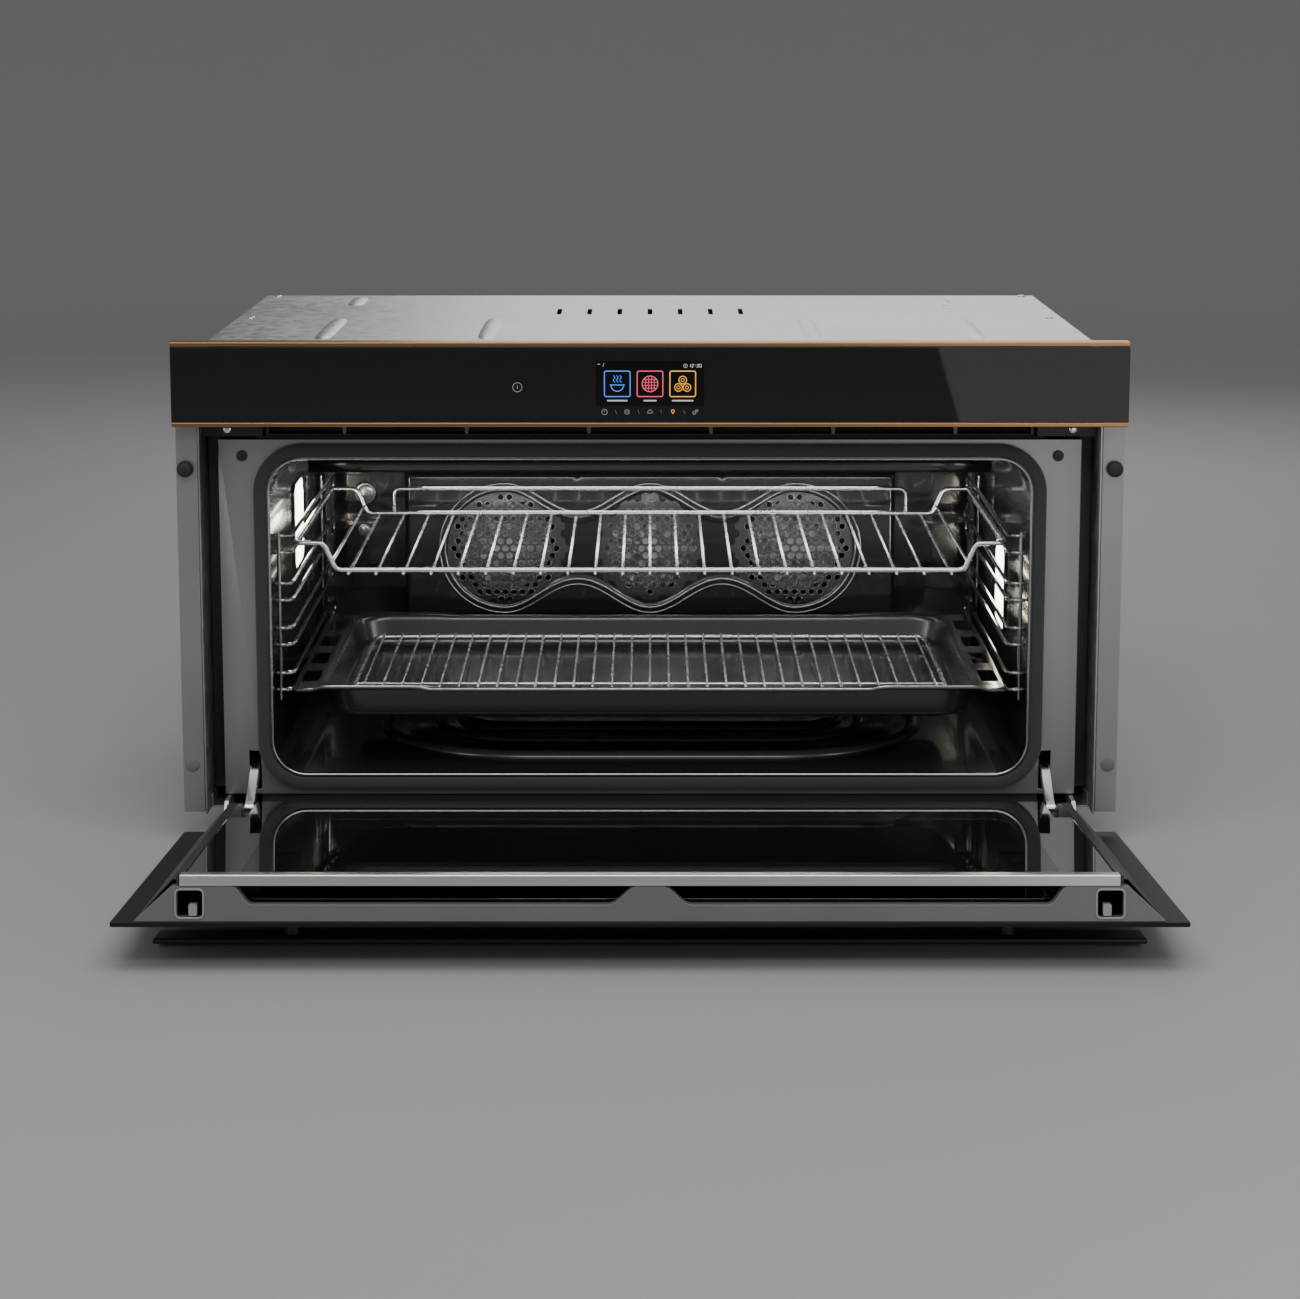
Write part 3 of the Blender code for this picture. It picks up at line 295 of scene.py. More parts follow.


# %% [markdown]
# Sheet steel comes in three finishes here. The casing is galvanised, and its zinc shows faint crystals.
# The front plate and flanges have a satin grey coat with a fine grain. Bars and trims are brushed: noise
# that is stretched far along the bar makes hairlines. Wires are bright, and those of the side racks are
# darker.

# %% Sheet and bar finishes


def galvanised():
    finish = Finish("galvanised_sheet", (0.55, 0.56, 0.57), 0.42, 1.0)
    spangle = finish.cells(110)
    cloud = finish.noise(6)
    zinc = shades((0.58, 0.585, 0.59), 0.84, 1.04)
    finish.feed("Base Color", finish.ramp(spangle * 0.5 + cloud * 0.5, *zinc))
    finish.feed("Roughness", spangle * 0.16 + 0.3 + cloud * 0.08)
    return finish.bumped(finish.noise(300), 0.0001).material


def satin_coat():
    colour = (0.37, 0.372, 0.374)
    finish = Finish("satin_coat", colour, 0.36, 0.75)
    grain = finish.noise(900, 3)
    finish.feed("Base Color", finish.ramp(finish.noise(7) * 0.6 + grain * 0.4, *shades(colour, 0.9, 1.08)))
    finish.feed("Roughness", grain * 0.12 + 0.3)
    return finish.bumped(grain, 0.00006).material


def brushed(name, colour, roughness):
    finish = Finish(name, colour, roughness, 1.0)
    hairs = finish.noise(60, 4, (0.06, 30, 30))
    finish.feed("Base Color", finish.ramp(hairs, *shades(colour, 0.86, 1.08)))
    finish.feed("Roughness", hairs * 0.14 + roughness - 0.07)
    return finish.bumped(hairs, 0.00003).material


def bright_wire(name="bright_nickel", colour=(0.9, 0.9, 0.89), roughness=0.2):
    finish = Finish(name, colour, roughness, 1.0)
    stain = finish.noise(25, 4)
    finish.feed("Base Color", finish.ramp(stain, *shades(colour, 0.88, 1.08)))
    finish.feed("Roughness", stain * 0.14 + roughness - 0.07)
    return finish.bumped(finish.noise(500), 0.00003).material


SHEET = galvanised()
SATIN = satin_coat()
BRIGHT = bright_wire()
SHELF_WIRE = bright_wire("satin_nickel", (0.97, 0.97, 0.96), 0.27)
RACK_WIRE = bright_wire("smoked_nickel", (0.34, 0.34, 0.335), 0.2)
BAR = brushed("brushed_aluminium", (0.82, 0.82, 0.82), 0.3)
# Painted highlights: the bright edge finish gives the disc collars and the tray's front edge their gleam, and
# the bank finish does the same for the baffle's beads and slot lips. The bank finish is also the steel of the
# socket caps.
PAINTED_HIGHLIGHT_STEEL = brushed("burnished_edges", (0.9, 0.9, 0.9), 0.16)
STEEL_AND_PAINTED_HIGHLIGHT = brushed("burnished_bank", (0.42, 0.42, 0.42), 0.24)
DISC = brushed("disc_steel", (0.26, 0.26, 0.26), 0.24)
COPPER = brushed("warm_anodised_trim", (0.5, 0.27, 0.13), 0.3)

# %% [markdown]
# The cavity, baffle and tray are steel with a fired black enamel. It is glossy, with a very faint ripple
# and a scatter of fine pale specks. A noise at a scale of half a millimetre, cut off near its top, gives
# specks without drawing any of them.

# %% Enamel


def enamel(name, colour, roughness, coat=0.6):
    finish = Finish(name, colour, roughness, 0.0, {"Coat Weight": coat, "Coat Roughness": 0.06, "IOR": 1.6})
    specks = finish.noise(1500, 1)
    paler, pale = tuple(1.3 * c for c in colour), (0.07, 0.07, 0.072)
    finish.feed("Base Color", finish.ramp(specks, (0.6, colour), (0.72, paler), (0.8, pale)))
    finish.feed("Roughness", finish.noise(12) * 0.06 + roughness - 0.03)
    return finish.bumped(finish.noise(90, 1), 0.00002).material


ENAMEL = enamel("cavity_enamel", (0.018, 0.0185, 0.019), 0.2)
# The ridges' enamel is paler than the cavity's, as a painted highlight.
RIDGE_HIGHLIGHT_ENAMEL = enamel("ridge_enamel", (0.05, 0.051, 0.052), 0.28)
TRAY_ENAMEL = enamel("tray_enamel", (0.022, 0.0225, 0.023), 0.24, 0.1)

# %% [markdown]
# Glass. The control glass and the outer pane are printed black on the inside, so they only need a black
# base under a smooth surface. The inner pane carries a thin metal coat that throws heat, and much light,
# back into the oven, so it is part mirror. Around its edge the print is solid.

# %% Glass and plastics
SOLID_PRINT_X = 0.345


def black_glass(name="black_glass", index=1.42):
    finish = Finish(name, (0.014, 0.014, 0.0143), 0.03, 0.0, {"IOR": index})
    return finish.feed("Roughness", finish.noise(14) * 0.02 + 0.015).material


def coated_glass():
    fixed = {"IOR": 2.4, "Coat Weight": 1.0, "Coat Roughness": 0.02}
    finish = Finish("heat_coated_glass", (0.012, 0.012, 0.012), 0.03, 0.0, fixed)
    edge = (finish.axis("X").size() > SOLID_PRINT_X) * 0.2
    finish.feed("Roughness", finish.noise(20) * 0.02 + 0.015)
    return finish.feed("Alpha", edge + 0.8).material


def moulded(name, colour, roughness, grain=1200):
    finish = Finish(name, colour, roughness)
    pores = finish.noise(grain, 3)
    mottle = pores * 0.5 + finish.noise(9) * 0.5
    finish.feed("Base Color", finish.ramp(mottle, *shades(colour, 0.85, 1.12)))
    finish.feed("Roughness", pores * 0.14 + roughness - 0.07)
    return finish.bumped(pores, 0.00008).material


def lit(name, colour, strength):
    """A printed or glowing area of the display: its own light shows, with a slight grain."""
    finish = Finish(name, (0.01, 0.01, 0.01), 0.3, 0.0, {"Emission Strength": strength})
    glow = finish.ramp(finish.noise(700), *shades(colour, 0.92, 1.04))
    return finish.feed("Emission Color", glow).material


BLACK = black_glass()
PRINTED = black_glass("printed_glass", 1.27)
COATED = coated_glass()
FRIT = moulded("printed_back", (0.011, 0.011, 0.0112), 0.6)
PALE = moulded("pale_moulding", (0.3, 0.31, 0.315), 0.4)
GREY = moulded("grey_moulding", (0.15, 0.158, 0.16), 0.42)
COLUMN = moulded("column_moulding", (0.03, 0.031, 0.032), 0.4)
DARK = moulded("dark_moulding", (0.022, 0.022, 0.023), 0.4)
RUBBER = moulded("rubber", (0.018, 0.018, 0.018), 0.65, 600)
HANDLE = moulded("handle_coat", (0.03, 0.03, 0.031), 0.3, 1800)
BOARD = moulded("circuit_board", (0.01, 0.08, 0.03), 0.4)
HEATER = moulded("heater_sheath", (0.05, 0.048, 0.046), 0.5, 400)
WOOL = moulded("dark_faced_wool", (0.03, 0.03, 0.029), 0.95, 150)

# %% [markdown]
# ## From grids to pieces
# Most pieces are a grid of points: one direction goes round or across, the other goes along. These
# helpers turn grids into faces, join several grids, and make the object, which rides on the body that it
# belongs to and may stand for a part of the working model.

# %% Mesh helpers


def sheet(points, round_first=False, round_second=False):
    """The quads of an (n, m, 3) grid of points. A round direction joins its last row to its first."""
    n, m = points.shape[:2]
    i = np.arange(n if round_first else n - 1)[:, None]
    j = np.arange(m if round_second else m - 1)[None, :]
    corners = [((i + a) % n) * m + (j + b) % m for a, b in ((0, 0), (1, 0), (1, 1), (0, 1))]
    return points.reshape(-1, 3), np.stack(np.broadcast_arrays(*corners), -1).reshape(-1, 4)


def joined(surfaces):
    """Several surfaces as one list of points and one list of quads."""
    points, quads, count = [], [], 0
    for some_points, some_quads in surfaces:
        points.append(some_points)
        quads.append(some_quads + count)
        count += len(some_points)
    return np.concatenate(points), np.concatenate(quads)


def mesh_of(name, surface):
    """A mesh from one surface, or from a list of them."""
    points, quads = joined(surface) if isinstance(surface, list) else surface
    mesh = bpy.data.meshes.new(name)
    mesh.from_pydata(points.tolist(), [], quads.tolist())
    return mesh


def cleaned(mesh, thin=0.0, toward=None):
    """Merges doubles, drops edges shorter than `thin`, and turns faces outwards or an open sheet `toward`."""
    bm = bmesh.new()
    bm.from_mesh(mesh)
    bmesh.ops.remove_doubles(bm, verts=bm.verts, dist=2e-6)
    if thin:
        bmesh.ops.dissolve_degenerate(bm, edges=bm.edges, dist=thin)
    bmesh.ops.recalc_face_normals(bm, faces=bm.faces)
    if toward and sum(face.normal.dot(toward) * face.calc_area() for face in bm.faces) < 0:
        bmesh.ops.reverse_faces(bm, faces=bm.faces)
    bm.to_mesh(mesh)
    bm.free()
    return mesh


def make(name, surface, finish, body="chassis", stands_for=(), wall=0.0, sharp=35, toward=None):
    """An object from a surface or a list of them."""
    mesh = cleaned(mesh_of(name, surface), 1e-6, toward)
    return finished(name, mesh, finish, body, stands_for, wall, sharp)


def finished(name, mesh, finish, body, stands_for, wall=0.0, sharp=35):
    mesh.materials.append(finish)
    mesh.shade_smooth()
    mesh.set_sharp_from_angle(angle=math.radians(sharp))
    piece = placed(name, mesh)
    if wall:
        modifier = piece.modifiers.new("wall", "SOLIDIFY")
        modifier.thickness = wall * MM
        modifier.offset = 0
    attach(piece, body)
    if stands_for:
        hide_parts(*stands_for)
    return piece


def cut_by(piece, surface):
    """Cuts a closed surface out of a piece."""
    cutter = placed("cutter", cleaned(mesh_of("cutter", surface)))
    cutter.hide_render = True
    modifier = piece.modifiers.new("cut", "BOOLEAN")
    modifier.operation = "DIFFERENCE"
    modifier.object = cutter


# %% [markdown]
# Some parts of the working model have the right form, and only their edges are too sharp to catch light.
# For those, a copy has its facets merged back into flat faces, and a narrow bevel rounds each edge.

# %% Rounded copies of working parts


def softened(node, finish, width=0.5, segments=2):
    source = frame["nodes"][node]
    mesh = bpy.data.meshes.new(node)
    bm = bmesh.new()
    bm.from_mesh(source.data)
    bmesh.ops.remove_doubles(bm, verts=bm.verts, dist=1e-5)
    bmesh.ops.dissolve_limit(bm, angle_limit=math.radians(1), verts=bm.verts, edges=bm.edges)
    bm.to_mesh(mesh)
    bm.free()
    piece = finished(f"{node}_soft", mesh, finish, source["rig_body"], (node,))
    bevel = piece.modifiers.new("edges", "BEVEL")
    bevel.width = width * MM
    bevel.segments = segments
    bevel.angle_limit = math.radians(30)
    bevel.harden_normals = True
    return piece


def paint(nodes, finish):
    """A working part keeps its shape and gets a finish."""
    for node in nodes:
        slots = frame["nodes"][node].data.materials
        slots.clear()
        slots.append(finish)


def second_finish(piece, finish, chosen):
    """The faces that `chosen` picks get another finish."""
    piece.data.materials.append(finish)
    picked = np.array([chosen(face) for face in piece.data.polygons], np.int32)
    piece.data.polygons.foreach_set("material_index", picked)
    print(piece.name, "has", picked.sum(), "faces in its second finish")


# %% [markdown]
# Two shapes come back all the time: a rectangle with round corners, and a round wire. The rectangle
# always has the same number of points, whatever its radius, so rings of different sizes join point to
# point.

# %% Outlines, wires and turned shapes


def outline(half, low, high, radius, arc=8, across=24, upright=12):
    """Points round a rectangle from -half to half and low to high, with quarter circles for corners."""
    turn = np.linspace(0, math.pi / 2, arc)
    centres = ((half, low), (half, high), (-half, high), (-half, low))
    loop = []
    for quarter, (a, b) in enumerate(centres):
        a -= math.copysign(radius, a)
        b += radius if quarter in (0, 3) else -radius
        angle = turn + (quarter - 1) * math.pi / 2
        corner = np.stack([a + radius * np.cos(angle), b + radius * np.sin(angle)], -1)
        loop.append(corner)
    whole = []
    for quarter in range(4):
        corner, after = loop[quarter], loop[(quarter + 1) % 4]
        count = upright if quarter in (0, 2) else across
        between = np.linspace(corner[-1], after[0], count + 2)[1:-1]
        whole += [corner, between]
    return np.concatenate(whole)


def shifted_outline(xs, low, high, radius, **counts):
    """An outline that isn't centred: xs are its left and right edges."""
    points = outline((xs[1] - xs[0]) / 2, low, high, radius, **counts)
    return points + [(xs[0] + xs[1]) / 2, 0]


def curved(corners, radius, steps=6, closed=False):
    """A route whose corners are eased: near each one it follows (1-t)^2 a + 2t(1-t) corner + t^2 b."""
    corners = np.asarray(corners, float)
    before, after = np.roll(corners, 1, 0), np.roll(corners, -1, 0)
    t = np.linspace(0, 1, steps)[None, :, None]
    arms = [other - corners for other in (before, after)]
    start, end = (corners + arm * (radius / np.linalg.norm(arm, axis=1, keepdims=True)) for arm in arms)
    start, middle, end = start[:, None], corners[:, None], end[:, None]
    eased = start * (1 - t) ** 2 + middle * 2 * t * (1 - t) + end * t**2
    if closed:
        return eased.reshape(-1, 3)
    inner = eased[1:-1].reshape(-1, 3)
    return np.concatenate([corners[:1], inner, corners[-1:]])


def wire(route, radius, square=(0, 0, 1), sides=12, closed=False):
    """A circle carried along a route given in working axes: p = route + r (cos a n + sin a b).

    n lies square to the route and to `square`. An open wire's ends are rounded: the last rings shrink by a
    quarter circle.
    """
    route = at(*np.asarray(route, float).T)
    radius = radius * MM
    if closed:
        along = np.roll(route, -1, 0) - np.roll(route, 1, 0)
    else:
        along = np.gradient(route, axis=0)
    along /= np.linalg.norm(along, axis=1, keepdims=True)
    scale = np.ones(len(route))
    if not closed:
        quarter = np.linspace(0, math.pi / 2, 4)[1:]
        head = route[0] - along[0] * radius * np.sin(quarter[::-1])[:, None]
        tail = route[-1] + along[-1] * radius * np.sin(quarter)[:, None]
        route = np.concatenate([head, route, tail])
        along = np.concatenate([np.repeat(along[:1], 3, 0), along, np.repeat(along[-1:], 3, 0)])
        scale = np.concatenate([np.cos(quarter[::-1]), scale, np.cos(quarter)])
    n = np.cross(along, square)
    n /= np.linalg.norm(n, axis=1, keepdims=True)
    b = np.cross(along, n)
    turn = full_turn(sides)
    ring = np.cos(turn)[None, :, None] * n[:, None] + np.sin(turn)[None, :, None] * b[:, None]
    return sheet(route[:, None] + ring * (radius * scale)[:, None, None], closed, True)


def turned(profile, centre, way=(0, -1, 0), sides=24):
    """A profile of (radius, rise) points, in millimetres, spun about a centre line that runs along `way`."""
    profile = np.asarray(profile, float) * MM
    way = np.asarray(way, float)
    side = np.cross(way, (0.3, 0.2, 0.9))
    side /= np.linalg.norm(side)
    other = np.cross(way, side)
    turn = full_turn(sides)
    spoke = np.cos(turn)[:, None] * side + np.sin(turn)[:, None] * other
    points = profile[:, 0, None, None] * spoke + profile[:, 1, None, None] * way
    return sheet(points + at(*centre), False, True)


def slab(loop, across, start, end):
    """A closed solid between two copies of an outline; rings that shrink to the middle fill its two ends."""
    middle = loop.mean(0)
    rings = [(middle, start), (loop, start), (loop, end), (middle, end)]
    rows = []
    for flat, level in rings:
        x, other = np.broadcast_to(flat, loop.shape).T
        rows.append(at(x, level, other) if across == "depth" else at(x, other, level))
    return sheet(np.stack(rows), False, True)


def outward(path):
    """Unit normals of a closed path of (across, other) points, on its outer side."""
    ahead = np.roll(path, -1, 0) - np.roll(path, 1, 0)
    ahead /= np.linalg.norm(ahead, axis=1, keepdims=True)
    return np.stack([ahead[:, 1], -ahead[:, 0]], -1)


# %% [markdown]
# ## Control panel
# The panel is one strip of black glass between two warm metal trims. The trims and the glass are the
# working parts with eased edges. Everything on the glass is print and light: flat bands a tenth of a
# millimetre thick.

# %% Panel glass and trims
softened("touch_glass", BLACK, 0.5, 3)
for node in ("panel_trim_top", "panel_trim_bottom"):
    softened(node, COPPER, 0.35, 3)
paint(["panel_carrier", "display_module"], DARK)
paint(["control_board"], BOARD)

# %% [markdown]
# A symbol is a set of lines. Each line is a band: every point of the line is moved half a width to both
# sides. The pictures are plain ones, a steaming bowl, a grid and three rings, and short bars take the
# place of words.

# %% Drawing on the glass
INK_DEPTH = -0.16


def band(line, width, closed=False):
    """A flat band along a line of (across, up) points: line + s w/2 normal, with s at -1 and 1."""
    line = np.asarray(line, float)
    ahead = np.roll(line, -1, 0) - np.roll(line, 1, 0) if closed else np.gradient(line, axis=0)
    ahead /= np.linalg.norm(ahead, axis=1, keepdims=True)
    normal = np.stack([-ahead[:, 1], ahead[:, 0]], -1) * width / 2
    edges = np.stack([line - normal, line + normal], 1)
    return sheet(at(edges[..., 0], INK_DEPTH, edges[..., 1]), closed, False)


def ring(x, up, radius, start=0, end=360, count=28):
    turn = np.radians(np.linspace(start, end, count))
    return np.stack([x + radius * np.cos(turn), up + radius * np.sin(turn)], -1)


def stroke(x0, up0, x1, up1, width):
    return band([(x0, up0), (x1, up1)], width)


def hoop(width, *circle):
    return band(ring(*circle), width)


def box_lines(x, up, half, radius):
    return shifted_outline((x - half, x + half), up - half, up + half, radius, arc=5, across=2, upright=2)


def drawing(name, bands, colour, strength):
    make(name, bands, lit(f"{name}_light", colour, strength), wall=0.1)


ICON_PITCH, ICON_HALF, ICON_UP = 30.6, 12.0, 438.0
frames = [band(box_lines(i * ICON_PITCH, ICON_UP, ICON_HALF, 1.6), 0.9, True) for i in (-1, 0, 1)]
bowl_x, table_up = -ICON_PITCH, ICON_UP - 1
bowl = [hoop(0.8, bowl_x, table_up, 6, 180, 360)]
bowl.append(stroke(bowl_x - 7, table_up, bowl_x + 7, table_up, 0.8))
for shift in (-3, 0, 3):
    up = np.linspace(1.2, 8, 16)
    bowl.append(band(np.stack([bowl_x + shift + 0.8 * np.sin(up * 1.3), ICON_UP + up], -1), 0.6))
GRID_RADIUS = 7.4
mesh_lines = [hoop(0.8, 0, ICON_UP, GRID_RADIUS)]
for shift in (-4, -1.4, 1.4, 4):
    reach = math.sqrt(GRID_RADIUS**2 - shift**2) - 0.6
    mesh_lines.append(stroke(shift, ICON_UP - reach, shift, ICON_UP + reach, 0.6))
    mesh_lines.append(stroke(-reach, ICON_UP + shift, reach, ICON_UP + shift, 0.6))
rings = []
for radius, width in ((3.6, 0.7), (1.5, 0.5)):
    rings += [hoop(width, ICON_PITCH + a, ICON_UP + b, radius) for a, b in ((0, 3.6), (-4, -3.4), (4, -3.4))]
drawing("icon_blue", [frames[0], *bowl], (0.05, 0.22, 0.9), 1.6)
drawing("icon_red", [frames[1], *mesh_lines], (0.75, 0.08, 0.14), 1.6)
drawing("icon_amber", [frames[2], *rings], (0.9, 0.42, 0.05), 1.6)

# %% [markdown]
# The clock has the usual seven strokes a digit. A row of small touch keys lies under the screen, with one
# of them lit, and the power key stands alone to the left.

# %% Clock, captions and touch keys
STROKES = {"1": "bc", "2": "abged", "3": "abgcd", "0": "abcdef"}
CORNERS = {"a": (0, 2, 1, 2), "b": (1, 1, 1, 2), "c": (1, 0, 1, 1), "d": (0, 0, 1, 0)}
CORNERS |= {"e": (0, 0, 0, 1), "f": (0, 1, 0, 2), "g": (0, 1, 1, 1)}


def digit(mark, x, up, wide=1.5, half=1.45):
    """Each stroke joins two corners of a grid that is one cell wide and two high."""
    ends = [CORNERS[letter] for letter in STROKES[mark]]
    return [stroke(x + a * wide, up + b * half, x + c * wide, up + d * half, 0.42) for a, b, c, d in ends]


white = []
for mark, x in zip("1230", (36.2, 39.0, 43.6, 46.4)):
    white += digit(mark, x, 453.6)
white += [stroke(42.1, 454.4 + dot, 42.1, 454.9 + dot, 0.5) for dot in (0, 1.5)]
white += [hoop(0.35, 33.2, 455.0, 1.7), stroke(33.2, 454.3, 33.2, 455.4, 0.4)]
for i, reach in ((-1, 9.5), (0, 6.0), (1, 10.0)):
    white.append(stroke(i * ICON_PITCH - reach, 422.2, i * ICON_PITCH + reach, 422.2, 1.3))
white += [stroke(-49, 456.5, -46.5, 456.5, 0.4), stroke(-44, 454, -43, 457.5, 0.3)]
drawing("screen_white", white, (0.75, 0.77, 0.8), 0.9)
KEY_UP = 411.5
keys = [hoop(0.45, -42.6, KEY_UP, 2.5), stroke(-42.6, KEY_UP, -42.6, KEY_UP + 1.6, 0.4)]
keys.append(band(box_lines(-21.5, KEY_UP, 1.9, 0.6), 0.4, True))
keys.append(stroke(-23.4, KEY_UP, -19.6, KEY_UP, 0.4))
keys += [hoop(0.45, 0, KEY_UP, 2.0, 0, 180, 12), stroke(-2.6, KEY_UP - 1, 2.6, KEY_UP - 1, 0.45)]
keys += [stroke(-2, KEY_UP, -2, KEY_UP - 1, 0.4), stroke(2, KEY_UP, 2, KEY_UP - 1, 0.4)]
keys += [hoop(0.5, 41.4, KEY_UP - 0.8, 1.4), hoop(0.5, 43.8, KEY_UP + 1.1, 1.0)]
for x in (-32, -10.5, 10.5, 32):
    keys.append(stroke(x - 0.6, KEY_UP + 1.6, x + 0.6, KEY_UP - 1.6, 0.25))
power_x, power_up = -124.0, 434.8
keys += [hoop(0.5, power_x, power_up, 4.3), stroke(power_x, power_up - 1.5, power_x, power_up + 1.5, 0.6)]
drawing("touch_keys", keys, (0.55, 0.56, 0.58), 0.6)
lamp_x = 21.4
lamp = [hoop(0.5, lamp_x, KEY_UP + 0.7, 1.4), stroke(lamp_x, KEY_UP - 0.7, lamp_x, KEY_UP - 2.1, 0.6)]
drawing("lamp_key", lamp, (0.95, 0.5, 0.08), 1.5)
SCREEN_HALF, SCREEN_LOW, SCREEN_HIGH = 50.6, 417.2, 459.6
screen_xs = (-SCREEN_HALF, SCREEN_HALF)
screen = shifted_outline(screen_xs, SCREEN_LOW, SCREEN_HIGH, 1.0, arc=3, across=3, upright=3)
screen_glass = Finish("screen_glass", (0.002, 0.002, 0.0025), 0.12)
screen_glass.feed("Roughness", screen_glass.noise(900) * 0.06 + 0.1)
make("screen", slab(screen, "depth", -0.09, -0.01), screen_glass.material)
print("the screen is", 2 * SCREEN_HALF, "by", round(SCREEN_HIGH - SCREEN_LOW, 1), "mm")

# %% [markdown]
# ## Casing
# The casing is folded from galvanised sheet and held by screws. Stamped beads stiffen its large flat
# sides. A bead is a low arch whose two ends run out, and it is added on the outside, where the press
# would raise it.

# %% Casing parts
FOLDED = ["base_pan", "side_panel_left", "side_panel_right", "rear_cover", "top_cover"]
FOLDED += ["hinge_bracket_left", "hinge_bracket_right", "lock_case", "door_switch_case"]
for node in FOLDED:
    softened(node, SHEET, 0.25)
for name, _ in SIDES:
    softened(f"mounting_flange_{name}", SATIN, 0.3)
softened("terminal_block", DARK, 1.2, 3)
softened("air_outlet_strip", DARK, 0.3)
paint(["insulation_blanket"], WOOL)
FANS = {"left": -1, "centre": 0, "right": 1}
paint([f"fan_motor_{name}" for name in FANS] + ["blower_housing", "blower_rotor"], SHEET)
paint(["base_element"] + [f"ring_element_{name}" for name in FANS], HEATER)

# %% Beads and screws


def bead(start, end, width, rise, facing):
    """An arch rise (1 - s^2) over a strip, tapered at both ends by (1 - t^6); `facing` is its outward way."""
    start, end, facing = at(*start), at(*end), np.asarray(facing, float)
    along = end - start
    side = np.cross(along / np.linalg.norm(along), facing)
    t = np.linspace(-1, 1, 25)[:, None, None]
    s = np.linspace(-1, 1, 9)[None, :, None]
    taper = np.sqrt(np.clip(1 - t**6, 0, 1))
    points = start + along * (t + 1) / 2 + side * s * taper * width * MM / 2
    top = points + facing * rise * MM * (1 - s**2) * taper
    under = points - facing * 0.1 * MM
    return joined([sheet(top), sheet(under)])


SCREW = [(0, 2.0), (0.5, 2.2), (2.6, 1.9), (3.7, 1.1), (4.0, 0.1), (4.0, -0.1), (0, -0.1)]


def screw(centre, way):
    """A pan-head screw: a dome that stands on the sheet."""
    return turned(SCREW, centre, way, 16)


REAR_FACE, LID_FACE, TOP_FACE, SIDE_FACE = 555.0, 573.2, 467.0, 428.0
BACK, UP = (0, 1, 0), (0, 0, 1)
rear_screws = [screw((x, REAR_FACE, h), BACK) for x in (-410, -205, 0, 205, 410) for h in (30, 452)]
rear_screws += [screw((x, REAR_FACE, 240), BACK) for x in (-410, 410)]
make("rear_screws", rear_screws, BRIGHT)
make("top_screws", [screw((x, d, TOP_FACE), UP) for x in (-414, 414) for d in (80, 310, 540)], BRIGHT)
for name, side in SIDES:
    x = side * SIDE_FACE
    places = [(x, d, h) for d, h in ((60, 60), (60, 420), (535, 60), (535, 420))]
    make(f"side_screws_{name}", [screw(place, (side, 0, 0)) for place in places], BRIGHT)
    beads = [bead((x, 90, h), (x, 400, h), 16, 2.2, (side, 0, 0)) for h in (120, 240, 360)]
    make(f"side_beads_{name}", beads, SHEET)
lid = shifted_outline((254, 326), 334, 368, 3, arc=6, across=6, upright=4)
make("terminal_lid", slab(lid, "depth", 571.0, 573.4), DARK)
ribs = [bead((x, LID_FACE, 339), (x, LID_FACE, 363), 4, 1.2, BACK) for x in range(270, 311, 8)]
make("terminal_ribs", ribs, DARK)
make("terminal_screws", [screw((x, LID_FACE, 351), BACK) for x in (260, 320)], BRIGHT)
beads = [bead((x, REAR_FACE, 190), (x, REAR_FACE, 420), 18, 2.2, BACK) for x in (-300, -150, 0, 150)]
make("rear_beads", beads, SHEET)
beads = [bead((x, 110, TOP_FACE), (x, 310, TOP_FACE), 18, 2.0, UP) for x in (-320, -160, 160, 320)]
beads += [bead((x, 440, TOP_FACE), (x, 530, TOP_FACE), 18, 2.0, UP) for x in (-320, 320)]
make("top_beads", beads, SHEET)

# %% [markdown]
# ## Front plate
# The plate is the frame that the door closes against. Its outline, its folds and the slots for the hinge
# arms are exact in the working part, so that shape is kept and each fold gets a radius. Behind the fold,
# the wing beside the casing sits in deep shadow, and that shade is painted: those faces take a second,
# darker finish.

# %% Front plate
WING_X = 0.4121
MOUTH_HALF, MOUTH_LOW, MOUTH_HIGH, MOUTH_RADIUS = 364.0, 52.0, 360.0, 32.0


def mouth_loop(grow, **counts):
    """The mouth's outline, moved outwards by `grow`."""
    return outline(MOUTH_HALF + grow, MOUTH_LOW - grow, MOUTH_HIGH + grow, MOUTH_RADIUS + grow, **counts)


plate = softened("front_plate", SATIN, 0.7, 3)
# The wing faces take the dark column finish as painted shade.
second_finish(plate, COLUMN, lambda face: abs(face.center.x) > WING_X)

# %% [markdown]
# Rubber bumpers, plastic plugs and the screws of the lock bracket sit on the front. They are all turned
# shapes, and each one is a profile of a few points spun about its centre line.

